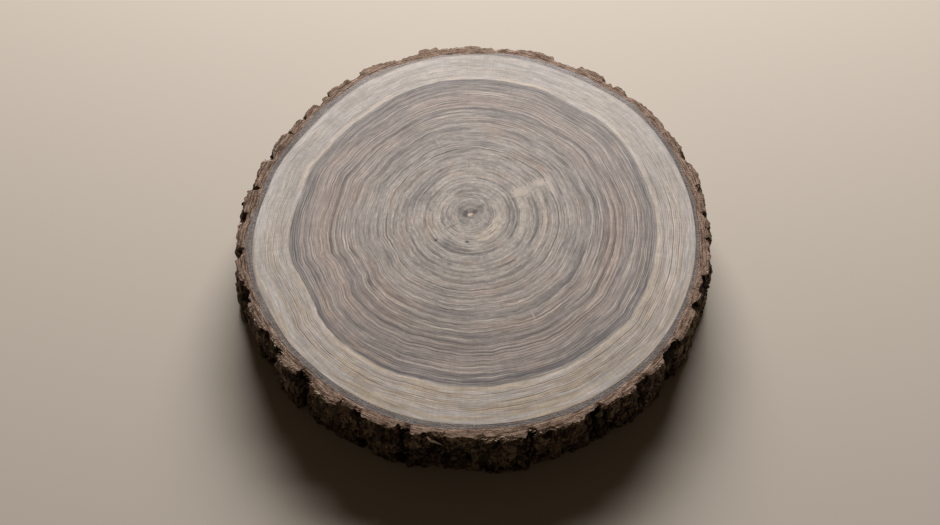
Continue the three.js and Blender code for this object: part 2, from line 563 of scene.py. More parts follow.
@dataclass(frozen=True)
class EndGrainFinish:
    """The sawn end grain: taupe heartwood with dark growth rings inside a pale band of sapwood."""

    name: str = "end_grain"
    pith: Rgb = srgb(216, 192, 176)
    pith_ring: Rgb = srgb(92, 80, 76)
    heart_centre: Rgb = srgb(184, 174, 165)
    heart_inner: Rgb = srgb(179, 169, 161)
    heart_middle: Rgb = srgb(174, 163, 156)
    heart_outer: Rgb = srgb(170, 156, 149)
    heart_edge: Rgb = srgb(144, 136, 133)
    sap_line: Rgb = srgb(206, 189, 172)
    sapwood: Rgb = srgb(198, 189, 182)
    sap_rim: Rgb = srgb(200, 192, 187)
    sap_cool: Rgb = srgb(182, 179, 178)
    sap_edge: Rgb = srgb(170, 160, 152)
    earlywood: Rgb = srgb(220, 205, 189)
    cool_band: Rgb = srgb(126, 121, 118)
    warm_band: Rgb = srgb(180, 156, 140)
    violet_band: Rgb = srgb(122, 112, 110)
    latewood: Rgb = srgb(76, 65, 61)
    sap_warm: Rgb = srgb(190, 171, 148)
    sap_thread: Rgb = srgb(124, 104, 87)
    edge_streak: Rgb = srgb(98, 91, 92)
    trace_tone: Rgb = srgb(208, 192, 176)
    # dark: painted shade inside the pinholes, which are flat
    hole: Rgb = srgb(40, 28, 22)
    boundary: float = 0.832
    strong_rings: tuple[StrongRing, ...] = (
        StrongRing(0.076, 0.005, 0.7),
        StrongRing(0.165, 0.006, 0.35),
        StrongRing(0.210, 0.007, 0.5),
        StrongRing(0.310, 0.006, 0.45),
        StrongRing(0.375, 0.007, 0.45),
        StrongRing(0.430, 0.006, 0.35),
        StrongRing(0.490, 0.006, 0.6),
        StrongRing(0.565, 0.008, 0.75),
        StrongRing(0.648, 0.006, 0.6),
        StrongRing(0.735, 0.007, 0.7),
    )
    arcs: tuple[Arc, ...] = (
        Arc(8, 26, 0.515, 0.024, srgb(128, 121, 118), 0.50),
        Arc(-14, 22, 0.645, 0.060, srgb(168, 143, 130), 0.45),
        Arc(183, 26, 0.665, 0.060, srgb(170, 147, 134), 0.35),
        Arc(84, 34, 0.695, 0.035, srgb(172, 148, 135), 0.30),
        Arc(224, 20, 0.520, 0.035, srgb(178, 152, 136), 0.35),
        Arc(120, 20, 0.500, 0.060, srgb(140, 134, 130), 0.45),
        Arc(-45, 44, 0.130, 0.042, srgb(208, 192, 174), 0.75),
        Arc(4, 30, 0.185, 0.024, srgb(116, 109, 106), 0.75),
        Arc(-5, 32, 0.237, 0.017, srgb(204, 190, 174), 0.65),
        Arc(-8, 34, 0.300, 0.016, srgb(116, 110, 108), 0.65),
        Arc(-10, 32, 0.335, 0.012, srgb(202, 182, 162), 0.60),
        Arc(138, 30, 0.280, 0.036, srgb(130, 125, 123), 0.60),
        Arc(100, 34, 0.135, 0.016, srgb(118, 110, 106), 0.55),
        Arc(172, 30, 0.150, 0.024, srgb(204, 190, 174), 0.50),
        Arc(250, 28, 0.200, 0.022, srgb(104, 96, 93), 0.65),
        Arc(-66, 22, 0.520, 0.030, srgb(134, 127, 124), 0.40),
        Arc(270, 80, 0.480, 0.360, srgb(116, 102, 92), 0.16),
        Arc(272, 60, 0.660, 0.170, srgb(112, 100, 91), 0.17),
        Arc(90, 62, 0.550, 0.300, srgb(122, 117, 114), 0.13),
        Arc(180, 42, 0.660, 0.120, srgb(206, 184, 172), 0.12),
    )
    trace: tuple[Spot, ...] = (
        Spot((32.8, 16.7), (7.0, 4.9), 18, 0.95),
        Spot((45.2, 24.1), (5.9, 3.2), 12, 0.95),
        Spot((52.2, 19.6), (7.0, 2.0), -56, 0.70),
        Spot((45.6, 14.5), (9.0, 2.2), -80, 0.70),
        Spot((36.0, 6.0), (8.5, 2.0), -86, 0.40),
        Spot((15.0, 6.8), (6.0, 2.2), 24, 0.30),
        Spot((-22.0, 56.6), (4.0, 0.7), -67, 0.55),
        Spot((38.6, -76.2), (4.6, 0.7), -68, 0.55),
        Spot((-37.3, -31.2), (3.6, 1.1), -52, 0.60),
    )
    smudges: tuple[Spot, ...] = (
        Spot((-0.6, 0.4), (12.0, 7.5), 4, 0.50),
        Spot((-3.0, -0.6), (4.0, 3.4), 70, 1.15),
        Spot((2.4, 0.6), (4.2, 2.6), 34, 1.05),
        Spot((6.0, 5.0), (5.6, 1.8), 24, 0.55),
        Spot((0.4, -3.8), (5.0, 1.2), 4, 0.60),
        Spot((-11.4, -10.1), (5.4, 0.8), 28, 0.55),
        Spot((-1.0, 37.0), (2.4, 0.7), 88, 0.40),
        Spot((12.0, -14.5), (2.0, 0.6), 55, 0.45),
    )
    core: tuple[Spot, ...] = (
        Spot((-0.6, -1.5), (1.35, 1.1), 0, 1.9),
        Spot((0.6, -0.9), (1.1, 0.8), 30, 1.5),
    )
    pinholes: tuple[Spot, ...] = (
        Spot((-2.3, -22.3), (1.5, 0.95), 0, 1.0),
        Spot((-22.0, -21.0), (1.2, 0.95), 20, 1.0),
    )

    def build(self, effects: SharedEffects, pith: Vector) -> Material:
        """Makes the material.

        Args:
            effects: The shared groups.
            pith: Where the middle of the rings is, in metres.

        Returns:
            The material.
        """
        graph = Surface(self.name, effects)
        from_pith = graph.vector_math("SUBTRACT", graph.place, tuple(pith))
        flat = graph.vector_math("MULTIPLY", from_pith, (1.0, 1.0, 0.0))
        feeds = {
            "Share": graph.value("ring_share"),
            "Turn": graph.vector_math("NORMALIZE", flat),
            "Trace": self._spots(graph, flat, self.trace, 1.1, 520.0),
        }
        figure = graph.group(RingFigure(self), feeds)
        grains, pores = graph.grit(1500.0, 0.36)
        colour = graph.coats(
            graph.mottled(figure["Colour"], 38.0, 0.07),
            (graph.times(pores, 0.26), self.latewood),
            (self._spots(graph, flat, self.smudges, 0.5, 700.0), self.pith_ring),
            (self._spots(graph, flat, self.core, 0.7, 800.0), self.pith),
            (self._spots(graph, flat, self.pinholes, 0.3, 400.0), self.hole),
        )
        rough = graph.math("MULTIPLY_ADD", figure["Latewood"], -0.12, 0.66)
        height = graph.math("MULTIPLY_ADD", figure["Latewood"], 0.6, grains)
        return graph.close(colour, rough, height, 0.00006, 0.35)

    @staticmethod
    def _spots(graph: Graph, from_pith: Feed, spots: Sequence[Spot], fray: float, grain: float) -> Socket:
        """Marks where some spots lie.

        Args:
            graph: The material's nodes.
            from_pith: Each place, from the pith.
            spots: The spots.
            fray: How far their edges stray, as a share of their reach.
            grain: How many bays these edges have to a metre.

        Returns:
            The socket of their strength.
        """
        marked: Feed = 0.0
        stray = graph.math("MULTIPLY_ADD", graph.noise(from_pith, grain, 3, 0.65), fray * 2, -fray)
        for spot in spots:
            centred = graph.vector_math("SUBTRACT", from_pith, (spot.at[0] * MM, spot.at[1] * MM, 0.0))
            feeds = {"Vector": centred, "Angle": -math.radians(spot.lean)}
            turned = graph.one("ShaderNodeVectorRotate", feeds, rotation_type="Z_AXIS")
            along, across = spot.reach
            share = graph.vector_math("MULTIPLY", turned, (1 / MM / along, 1 / MM / across, 0.0))
            away = graph.add("ShaderNodeVectorMath", {0: share}, operation="LENGTH").outputs["Value"]
            inside = graph.spread(graph.math("ADD", away, stray), 1.4, 0.1, 0.0, spot.strength)
            marked = graph.math("MAXIMUM", marked, inside)
        return marked


class RingFigure(NodeGroup):
    """The rings' colours, from a place's share of the way to the rim and its direction."""

    HEART_YEARS = ((24.0, 5.0, 1.0), (47.0, 3.6, 1.25), (88.0, 2.6, 1.35), (131.0, 2.0, 0.9))
    FINE_YEARS = 50  # from this many on, the lines fade out towards the pith
    WHOLE = 1.0  # scale of noise that is read at places that are stretched already

    def __init__(self, finish: EndGrainFinish) -> None:
        """Makes the group.

        Args:
            finish: The finish whose colours and marks it takes.
        """
        inputs = {"Share": 0.5, "Turn": Kind.VECTOR, "Trace": 0.0}
        super().__init__("ring_figure", inputs, {"Colour": Kind.COLOUR, "Latewood": Kind.FLOAT})
        self.finish = finish
        self.turn = self.given["Turn"]
        self.share = self.given["Share"]
        self.opening = self.spread(self.share, 0.0, 0.30, 0.35, 1.0)
        drift = self.math("SUBTRACT", self._grain(1.6, 3.0, 2), 0.5)
        ripple = self.math("SUBTRACT", self._grain(11.0, 9.0, 2), 0.5)
        shift = self.math("MULTIPLY_ADD", ripple, 0.010, self.times(drift, 0.026))
        away = self.spread(self.share, 0.05, 0.6, 0.15, 1.0)
        self.share = self.math("MULTIPLY_ADD", shift, away, self.share)
        self.in_heart = self.spread(self.share, finish.boundary + 0.003, finish.boundary - 0.003)

        colour, late = self._years(self._bands())
        colour = self.lit(self._sapwood(colour), self._gain())
        colour = self.mix(self.times(self.given["Trace"], 0.85), colour, finish.trace_tone)
        self.give({"Colour": colour, "Latewood": late})

    def _grain(
        self, turns: float, rings: float, detail: float, rough: float = 0.5, spreads: bool = True
    ) -> Socket:
        """Makes noise that is stretched along the rings.

        Args:
            turns: How many features there are round the pith, about.
            rings: How many there are on the way to the rim.
            detail: How many finer layers it has.
            rough: How strong these are.
            spreads: Whether it is stretched further near the pith.

        Returns:
            The socket of its value.
        """
        around = self.scaled(self.turn, self.times(self.opening, turns) if spreads else turns)
        place = self.vector_math("ADD", around, self.upward(self.times(self.share, rings)))
        return self.noise(place, self.WHOLE, detail, rough)

    def _bands(self) -> Socket:
        """Makes the broad zones, the bands of some years each and the tinted stretches.

        Returns:
            The socket of their colour.
        """
        finish, edge = self.finish, self.finish.boundary
        stops = (
            (0.16, finish.heart_centre),
            (0.28, finish.heart_inner),
            (0.50, finish.heart_middle),
            (0.66, finish.heart_outer),
            (edge - 0.055, finish.heart_outer),
            (edge - 0.030, finish.heart_edge),
            (edge - 0.005, finish.heart_edge),
            (edge + 0.006, finish.sapwood),
            (0.965, finish.sapwood),
            (0.980, finish.sap_rim),
            (0.990, finish.sap_rim),
            (1.0, finish.sap_edge),
        )
        line = self.spread(self.apart(self.share, edge + 0.011), 0.013, 0.002)
        broken = self.spread(self._grain(3.0, 9.0, 3, 0.65), 0.36, 0.62, 0.12, 0.95)
        bands = self._grain(1.9, 17.0, 4, 0.75)
        cool, warm = self.spread(bands, 0.49, 0.32, 0.0, 0.78), self.spread(bands, 0.52, 0.68, 0.0, 0.80)
        violet = self.spread(self._grain(2.3, 31.0, 3), 0.52, 0.68, 0.0, 0.50)
        return self.coats(
            self.ramp(self.share, stops),
            (self.times(line, broken), finish.sap_line),
            (self.times(cool, self.in_heart), finish.cool_band),
            (self.times(warm, self.in_heart), finish.warm_band),
            (self.times(violet, self.in_heart), finish.violet_band),
            *((self._arc(arc), arc.tone) for arc in finish.arcs),
        )

    def _years(self, colour: Socket) -> tuple[Socket, Socket]:
        """Draws the growth rings, and the dark streaks at the heartwood's edge.

        Args:
            colour: The colour beneath.

        Returns:
            The sockets of the result and of how much dark wood there is.
        """
        finish, edge = self.finish, self.finish.boundary
        waver = self.spread(self._grain(3.0, 16.0, 2), 0.40, 0.62)
        corner = self.math("ADD", self._arc(Arc(214, 24, 0.64, 0.22, finish.latewood, 0.9)), 0.9)
        late, early = self.times(self._strong_lines(), waver, corner), 0.0
        outward = self.spread(self.share, 0.10, 0.48, 0.30, 1.0)
        for count, sharpness, strength in self.HEART_YEARS:
            dark, pale = self._growth_lines(count, sharpness)
            if count > self.FINE_YEARS:
                dark, pale = self.times(dark, outward), self.times(pale, outward)
            late = self.math("MULTIPLY_ADD", dark, strength, late)
            early = self.math("MULTIPLY_ADD", pale, strength * 0.85, early)
        kept = self.math("MULTIPLY_ADD", self.in_heart, 0.86, 0.14)
        calm = self.spread(self.given["Trace"], 0.0, 1.0, 1.0, 0.35)
        late = self.times(self.times(late, kept, clamp=True), calm)
        early = self.math("MULTIPLY", self.times(early, kept), 0.95, clamp=True)
        at_edge = self.times(self.spread(self.share, edge - 0.075, edge - 0.04), self.in_heart, 0.75)
        streaks = self.spread(self._grain(1.8, 62.0, 3, 0.7), 0.49, 0.62)
        colour = self.coats(
            colour,
            (early, finish.earlywood),
            (self.times(late, 0.86), finish.latewood),
            (self.times(streaks, at_edge), finish.edge_streak),
        )
        return colour, late

    def _sapwood(self, colour: Socket) -> Socket:
        """Draws the tints and the fine threads of the sapwood.

        Args:
            colour: The colour beneath.

        Returns:
            The result's socket.
        """
        finish, edge = self.finish, self.finish.boundary
        in_sap = self.rest(self.in_heart)
        ways = self.axes(self.turn)
        below = self.spread(self.math("MULTIPLY_ADD", ways[0], -0.35, ways[1]), 0.5, -0.5, 0.45, 1.0)
        threads, creams = self._growth_lines(124.0, 1.8, 0.45)
        coarse, _ = self._growth_lines(71.0, 3.0, 0.10)
        hairs = self.spread(self._grain(4.2, 150.0, 3, 0.75), 0.48, 0.66)
        threads = self.math("ADD", self.math("MULTIPLY_ADD", hairs, 0.5, threads), coarse)
        fades = self.spread(self.share, 0.975, 0.915, 0.45, 1.0)
        middle = self.times(self.spread(self.share, edge + 0.01, edge + 0.035), fades)
        drawn = self.times(middle, in_sap, below)
        hue = self._grain(3.4, 42.0, 3, 0.7)
        near_side = self.spread(ways[1], 0.1, -0.8, 0.35, 1.6)
        warmth = self.times(in_sap, near_side, self.spread(hue, 0.42, 0.62, 0.06, 0.55))
        cool = self.times(self.spread(hue, 0.50, 0.36, 0.0, 0.5), middle, in_sap)
        return self.coats(
            colour,
            (warmth, finish.sap_warm),
            (cool, finish.sap_cool),
            (self.times(threads, drawn, 0.95), finish.sap_thread),
            (self.times(creams, drawn), finish.earlywood),
        )

    def _gain(self) -> Socket:
        """Makes the unevenness of tone along the rings and along the rays.

        Returns:
            The socket of the factor that the colour is multiplied by.
        """
        gain = self.spread(self._grain(2.4, 20.0, 4, 0.85), 0.27, 0.73, 0.84, 1.17)
        for turns, rings, swing in ((5.0, 78.0, 0.12), (14.0, 150.0, 0.20)):
            threads = self._grain(turns, rings, 3, 0.75)
            gain = self.times(gain, self.spread(threads, 0.27, 0.73, 1 - swing, 1 + swing))
        rays = self._grain(120.0, 7.0, 2, 0.6, spreads=False)
        return self.times(gain, self.spread(rays, 0.3, 0.7, 0.95, 1.05))

    def _arc(self, arc: Arc) -> Socket:
        """Marks where an arc lies.

        Args:
            arc: The arc.

        Returns:
            The socket of its strength.
        """
        core = 0.35  # share of its reach and width that has its full strength
        away = self.apart(self.share, arc.share)
        at_share = self.spread(away, arc.width, arc.width * core, 0.0, arc.strength)
        return self.times(self.toward(self.turn, arc.at, arc.reach, core), at_share)

    def _growth_lines(self, count: float, sharpness: float, least: float = 0.0) -> tuple[Socket, Socket]:
        """Makes a dark and a pale line to each year's growth, strong in some years and faint in others.

        Args:
            count: How many years there are.
            sharpness: How late in the year the dark wood starts.
            least: How strong the faintest year is.

        Returns:
            The sockets of the dark and the pale lines' strength.
        """
        crowding = self.noise(self.one("ShaderNodeCombineXYZ", {0: self.share, 1: count}), 6.0, 1)
        years = self.math("MULTIPLY_ADD", self.share, count, self.times(crowding, 3.0))
        year, within = self.math("FLOOR", years), self.math("FRACT", years)
        luck = self.add("ShaderNodeTexWhiteNoise", {"W": year}, noise_dimensions="1D").outputs["Value"]
        reach = self.spread(self.share, 0.0, 0.20, 0.7, 2.9)
        along = self.vector_math("ADD", self.scaled(self.turn, reach), self.upward(self.times(year, 3.7)))
        fading = self.spread(self.noise(along, self.WHOLE), 0.36, 0.60, least)
        dark = self.times(self.math("POWER", within, sharpness), self.spread(within, 1.0, 0.93))
        pale = self.math("POWER", self.rest(within), sharpness * 1.8)
        pale = self.times(pale, self.spread(within, 0.0, 0.07))
        chance = self.math("FRACT", self.times(luck, 7.13))
        luck = self.math("MULTIPLY_ADD", luck, 1 - least, least)
        return self.times(dark, luck, fading), self.times(pale, chance, fading)

    def _strong_lines(self) -> Socket:
        """Makes the rings that can be followed nearly all the way round.

        Returns:
            The socket of their darkness.
        """
        none = (0.0, 0.0, 0.0)
        stops: list[tuple[float, Rgb]] = []
        for ring in self.finish.strong_rings:
            stops.append((ring.share - ring.width, none))
            stops.append((ring.share, (ring.darkness,) * 3))
            stops.append((ring.share + ring.width * 0.6, none))
        return self.ramp(self.share, stops)


@dataclass(frozen=True)
class SawnBarkFinish:
    """The bark where the saw went through: grey inner bark, a thin red-brown line, brown outer bark."""

    name: str = "sawn_bark"
    cambium: Rgb = srgb(90, 78, 71)
    inner_bark: Rgb = srgb(142, 132, 126)
    inner_cool: Rgb = srgb(124, 118, 116)
    inner_pale: Rgb = srgb(188, 179, 176)
    red_line: Rgb = srgb(104, 72, 56)
    outer_bark: Rgb = srgb(150, 123, 105)
    outer_pale: Rgb = srgb(192, 168, 148)
    edge: Rgb = srgb(66, 49, 39)
    # near black: painted shade in the cracks
    crack: Rgb = srgb(22, 15, 11)
    inner_width: float = 3.2
    ramp_width: float = 12.0  # how far out from the wood the tones are laid down
    inner_swells: tuple[tuple[float, float, float], ...] = (
        (96, 24, -1.9), (145, 16, 0.7), (182, 8, 0.9), (197, 9, -0.6), (285, 12, 0.4), (345, 22, -1.3),
    )  # angle, reach to each side, how much wider it is there

    def build(self, effects: SharedEffects) -> Material:
        """Makes the material.

        Args:
            effects: The shared groups.

        Returns:
            The material.
        """
        graph = Surface(self.name, effects)
        place, out = graph.place, graph.value("bark_in")
        turn = graph.vector_math("NORMALIZE", graph.stretched(0.0))
        layered = graph.vector_math("MULTIPLY_ADD", turn, (14.0, 14.0, 0.0), graph.upward(out))
        wobble = graph.noise(place, 160.0, 3, 0.6)
        broad = graph.noise(place, 26.0)
        shifted = graph.math("ADD", out, graph.math("MULTIPLY_ADD", wobble, 2.4, -1.2))
        shifted = graph.math("ADD", shifted, graph.spread(broad, 0.34, 0.66, -0.6, 0.8))
        for at, reach, more in self.inner_swells:
            shifted = graph.math("SUBTRACT", shifted, graph.toward(turn, at, reach, 0.25, more))
        step = self.inner_width / self.ramp_width
        stops = (
            (0.0, self.inner_bark),
            (0.030, self.inner_bark),
            (step * 0.55, self.inner_cool),
            (step - 0.05, self.inner_bark),
            (step - 0.005, self.inner_bark),
            (step + 0.012, self.red_line),
            (step + 0.045, self.outer_bark),
            (1.0, self.outer_bark),
        )
        outside = graph.spread(shifted, self.inner_width, self.inner_width + 0.6)
        inside = graph.rest(outside)
        ways = graph.axes(turn)
        back = graph.spread(ways[1], 0.45, 1.0, 0.0, 0.88)
        left = graph.spread(ways[0], -0.3, -0.9, 0.0, 0.42)
        south = graph.spread(ways[1], 0.2, -0.6, 0.15, 0.9)
        seam = graph.times(graph.spread(out, 0.70, 0.1), graph.spread(broad, 0.44, 0.60, 0.1, 0.8))
        grain = graph.spread(graph.noise(layered, 3.4, 3, 0.7), 0.46, 0.34, 0.0, 0.55)
        specks = graph.spread(graph.noise(place, 700.0, 3, 0.7), 0.55, 0.70, 0.0, 0.6)
        stains = graph.spread(graph.noise(place, 55.0, 3, 0.6), 0.52, 0.66, 0.0, 0.22)
        rust = graph.spread(graph.noise(layered, 0.8, 4, 0.65), 0.50, 0.62, 0.0, 0.75)
        layers = graph.noise(layered, 1.25, 4, 0.75)
        fibres = graph.times(graph.noise(place, 420.0, 4, 0.7), 0.22)
        fibres = graph.math("MULTIPLY_ADD", layers, 0.78, fibres)
        beside = graph.spread(graph.apart(shifted, self.inner_width + 1.0), 1.0, 0.3)
        flecks = graph.spread(fibres, 0.50, 0.61, 0.0, 0.85)
        dark = graph.math("MULTIPLY_ADD", outside, 0.62, 0.18)
        near_edge = graph.spread(graph.value("to_edge"), 0.9, 0.0)
        colour = graph.coats(
            graph.ramp(graph.math("DIVIDE", shifted, self.ramp_width), stops),
            (seam, self.cambium),
            (graph.times(back, inside), self.inner_pale),
            (graph.times(grain, inside), self.cambium),
            (graph.times(specks, inside), self.inner_pale),
            (graph.times(stains, inside), self.outer_bark),
            (graph.times(rust, outside), self.red_line),
            (graph.times(beside, graph.spread(layers, 0.46, 0.60), south), self.outer_pale),
            (graph.times(flecks, outside), self.outer_pale),
            (graph.times(graph.spread(fibres, 0.49, 0.41), dark), self.edge),
            (graph.times(left, graph.spread(layers, 0.58, 0.44), outside), self.edge),
            (graph.times(near_edge, graph.spread(wobble, 0.40, 0.60, 0.0, 0.6)), self.edge),
            (graph.value("crack"), self.crack),
        )
        grains, pores = graph.grit(1100.0, 0.42)
        colour = graph.mix(graph.times(pores, 0.45), graph.mottled(colour, 90.0, 0.22), self.edge)
        return graph.close(colour, 0.85, graph.math("ADD", grains, fibres), 0.0006, 0.2)


@dataclass(frozen=True)
class BarkWallFinish:
    """The weather-worn outside of the bark: dark brown, greyer on raised plates, with painted highlights on
    raised parts and painted shade, near black, in furrows, slits, cracks, pits and low places.
    """

    name: str = "bark_wall"
    plate: Rgb = srgb(130, 103, 83)
    # the plates' weathered grey, also the colour of the painted highlights
    weathered_and_highlight: Rgb = srgb(178, 157, 127)
    lichen: Rgb = srgb(136, 136, 100)
    flank: Rgb = srgb(84, 46, 42)
    # near black: painted shade in furrows, slits, cracks, pits and the low places between plates
    furrow_shade: Rgb = srgb(13, 6, 5)
    dust_colour: Rgb = srgb(158, 140, 118)
    dust: float = 0.35

    def build(self, effects: SharedEffects) -> Material:
        """Makes the material.

        Args:
            effects: The shared groups.

        Returns:
            The material.
        """
        graph = Surface(self.name, effects)
        place, raised = graph.place, graph.value("raised")
        upright = graph.stretched(0.22)
        streaks = graph.noise(upright, 340.0, 5, 0.7)
        patches = graph.noise(place, 75.0, 4, 0.65)
        slits = graph.noise(graph.stretched(0.12), 520.0, 3, 0.6, 0.4)
        shade_patches = graph.noise(graph.stretched(0.42), 150.0, 3, 0.6, 0.5)
        bits = graph.noise(place, 390.0, 4, 0.7)
        # painted highlights on the raised plates, where they would catch light
        lights = graph.times(graph.spread(slits, 0.56, 0.64), graph.spread(raised, 0.3, 0.8))
        colour = graph.coats(
            graph.mix(graph.spread(raised, 0.15, 0.85), self.flank, self.plate),
            (graph.times(graph.value("plate_tone"), 0.55), self.weathered_and_highlight),
            (graph.spread(graph.value("layer"), 0.35, 0.75, 0.0, 0.45), self.weathered_and_highlight),
            (graph.spread(patches, 0.51, 0.60, 0.0, 0.7), self.lichen),
            (graph.spread(patches, 0.47, 0.36, 0.0, 0.5), self.flank),
            (graph.spread(streaks, 0.55, 0.38, 0.0, 0.8), self.flank),
            (graph.spread(streaks, 0.46, 0.34, 0.0, 0.8), self.furrow_shade),
            (graph.spread(slits, 0.45, 0.38, 0.0, 0.9), self.furrow_shade),
            (graph.times(lights, 0.6), self.weathered_and_highlight),
            # patches of painted shade, and lighter bark where the pattern is high
            (graph.spread(shade_patches, 0.50, 0.40, 0.0, 0.85), self.furrow_shade),
            (graph.spread(shade_patches, 0.60, 0.68, 0.0, 0.45), self.weathered_and_highlight),
            (graph.spread(bits, 0.47, 0.39, 0.0, 0.85), self.furrow_shade),
            (graph.spread(bits, 0.56, 0.64, 0.0, 0.5), self.weathered_and_highlight),
            # painted shade in the low places between plates and in pits
            (graph.spread(raised, 0.46, 0.05, 0.0, 0.92), self.furrow_shade),
            # painted shade in the cracks
            (graph.times(graph.value("crack"), 0.95), self.furrow_shade),
        )
        feeds = {
            "Colour": colour,
            "Dust colour": (*self.dust_colour, 1.0),
            "Place": place,
            "Raised": raised,
            "Amount": self.dust,
        }
        dusted = graph.group(effects.dust, feeds)
        grains, _ = graph.grit(800.0, 0.4, upright)
        height = graph.math("MULTIPLY_ADD", streaks, 1.5, grains)
        rough = graph.math("MULTIPLY_ADD", dusted["Mask"], 0.1, 0.86)
        return graph.close(graph.mottled(dusted["Colour"], 70.0, 0.25), rough, height, 0.0012, 0.15)


@dataclass(frozen=True)
class FlakeFinish:
    """A loose scale of bark, with its own tone."""

    name: str = "bark_flake"
    dark: Rgb = srgb(66, 50, 40)
    pale: Rgb = srgb(122, 104, 88)

    def build(self, effects: SharedEffects) -> Material:
        """Makes the material.

        Args:
            effects: The shared groups.

        Returns:
            The material.
        """
        graph = Surface(self.name, effects)
        colour = graph.mottled(graph.mix(graph.value("tone"), self.dark, self.pale), 300.0, 0.35)
        grains, pores = graph.grit(1400.0, 0.4)
        return graph.close(graph.mix(graph.times(pores, 0.5), colour, self.dark), 0.9, grains, 0.0004, 0.15)


@dataclass(frozen=True)
class TornFibreFinish:
    """A pale fibre that the saw tore out of the bark."""

    name: str = "torn_fibre"
    dark: Rgb = srgb(132, 98, 74)
    # very pale: the fibres' own pale colour, made paler with painted light so that the splinter shows lit
    pale: Rgb = srgb(246, 222, 194)

    def build(self, effects: SharedEffects) -> Material:
        """Makes the material.

        Args:
            effects: The shared groups.

        Returns:
            The material.
        """
        graph = Surface(self.name, effects)
        colour = graph.mottled(graph.mix(graph.value("tone"), self.dark, self.pale), 500.0, 0.25)
        return graph.close(colour, 0.8, graph.noise(graph.stretched(0.3), 2500.0), 0.0002, 0.25)


@dataclass
class TrunkShape:
    """The form of the slice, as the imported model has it."""

    thickness: float = 45.0
    wood_radius: float = 141.3
    seam_gap: float = 0.3
    crevice_floor: float = 6.4
    swells: tuple[tuple[float, float, float], ...] = (
        (38, 13, 1.5), (60, 9, -0.9), (90, 20, 1.7), (145, 20, -5.0),
        (170, 8, -1.3), (195, 13, 2.6), (217, 6, 1.0), (278, 20, -0.9),
    )  # angle, reach to each side, height
    plates: tuple[tuple[float, float, float], ...] = (
        (4.2, 10.8, 150.8), (12.4, 19.8, 151.8), (19.8, 21.8, 148.6), (23.3, 33.8, 151.3),
        (33.9, 35.9, 149.6), (37.0, 43.5, 151.3), (43.6, 45.7, 148.2), (46.3, 50.2, 151.3),
        (50.4, 52.8, 149.0), (53.6, 62.4, 151.2), (62.5, 67.6, 147.9), (68.6, 79.8, 151.2),
        (79.9, 86.0, 149.0), (86.3, 91.5, 148.6), (92.0, 95.6, 150.2), (96.0, 99.2, 149.6),
        (100.2, 105.6, 151.7), (105.7, 111.0, 148.4), (111.9, 115.4, 149.0), (115.8, 122.3, 150.2),
        (122.4, 124.0, 147.6), (125.6, 132.8, 149.0), (132.9, 135.6, 147.4), (138.0, 142.6, 147.3),
        (143.9, 149.0, 147.4), (149.5, 156.6, 147.8), (159.2, 168.2, 149.4), (169.3, 177.0, 151.2),
        (179.2, 186.6, 152.8), (190.0, 196.8, 154.0), (196.9, 198.8, 150.5), (202.3, 209.6, 153.3),
        (209.8, 211.6, 151.0), (213.0, 215.8, 149.6), (218.3, 225.6, 153.6), (229.0, 236.8, 152.6),
        (236.9, 240.8, 150.3), (242.8, 251.2, 150.8), (254.6, 258.0, 151.2), (258.6, 263.0, 148.9),
        (263.4, 271.0, 149.0), (272.0, 281.7, 150.6), (283.9, 296.4, 150.3), (299.2, 305.6, 149.3),
        (306.0, 309.8, 150.6), (314.0, 319.4, 151.3), (325.0, 335.0, 151.2), (337.6, 341.0, 150.0),
        (345.9, 351.8, 151.0), (352.8, 355.9, 148.9), (356.5, 362.8, 150.1),
    )  # from angle, to angle, radius of the outer face at the upper sawn face
    shoulder: float = 1.05
    wander: float = 1.2
    wander_cells: int = 30
    wander_layer: float = 21.0
    belly: float = 2.8
    belly_depth: float = 9.0
    belly_cells: int = 44
    break_step: float = 1.7
    break_height: float = 3.0
    plate_lean: float = 0.9
    crevice_fill: float = 0.8
    crevice_closing: float = 0.8
    foot_chip: float = 1.4
    foot_height: float = 6.0
    wander_seed: int = 3
    belly_seed: int = 7
    chip_seed: int = 19
    break_seed: int = 11
    step_seed: int = 13
    lean_seed: int = 17
    middle: tuple[float, float] = (0.0, 0.0)  # of the outline, which the frame has at its origin

    def settle(self, packed: tuple[Vector, Vector]) -> None:
        """Works out where the frame has the trunk's axis.

        Args:
            packed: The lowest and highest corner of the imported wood, in metres.
        """
        angles = np.arange(0, 360, 2.0)
        radii = self.wood_rim(angles) - self.seam_gap
        x, y = radii * np.cos(np.radians(angles)), radii * np.sin(np.radians(angles))
        low, high = packed
        self.middle = (
            (x.min() + x.max()) / 2 - (low.x + high.x) / 2 / MM,
            (y.min() + y.max()) / 2 - (low.y + high.y) / 2 / MM,
        )

    def place(self, x: Values, y: Values, z: Values) -> np.ndarray:
        """Turns places about the trunk's axis, in millimetres, into points of the frame, in metres."""
        x, y, z = np.broadcast_arrays(x - self.middle[0], y - self.middle[1], z)
        return np.stack([x, y, z], axis=-1) * MM

    def around(self, degrees: Values, radius: Values, height: Values) -> np.ndarray:
        """Turns angles, radii and heights about the trunk's axis into points of the frame, in metres."""
        turned = np.radians(degrees)
        return self.place(radius * np.cos(turned), radius * np.sin(turned), height)

    def wood_rim(self, degrees: np.ndarray) -> np.ndarray:
        """Gives the radius of the wood without its bark.

        Args:
            degrees: The angles.

        Returns:
            The radius at each.
        """
        radius = np.full_like(degrees, self.wood_radius, dtype=float)
        for at, reach, height in self.swells:
            away = turn_past(degrees, at) / reach
            radius += height * np.exp(-away * away)
        return radius

    def strayed(self, degrees: np.ndarray, height: np.ndarray) -> np.ndarray:
        """Gives the angle that a crevice has strayed to at a height.

        Args:
            degrees: Its angle at the top.
            height: The height.

        Returns:
            The angle at each height.
        """
        here, top = (
            unevenness(degrees, level, self.wander_cells, self.wander_layer, self.wander_seed)
            for level in (height, self.thickness)
        )
        return degrees + self.wander * (here - top)

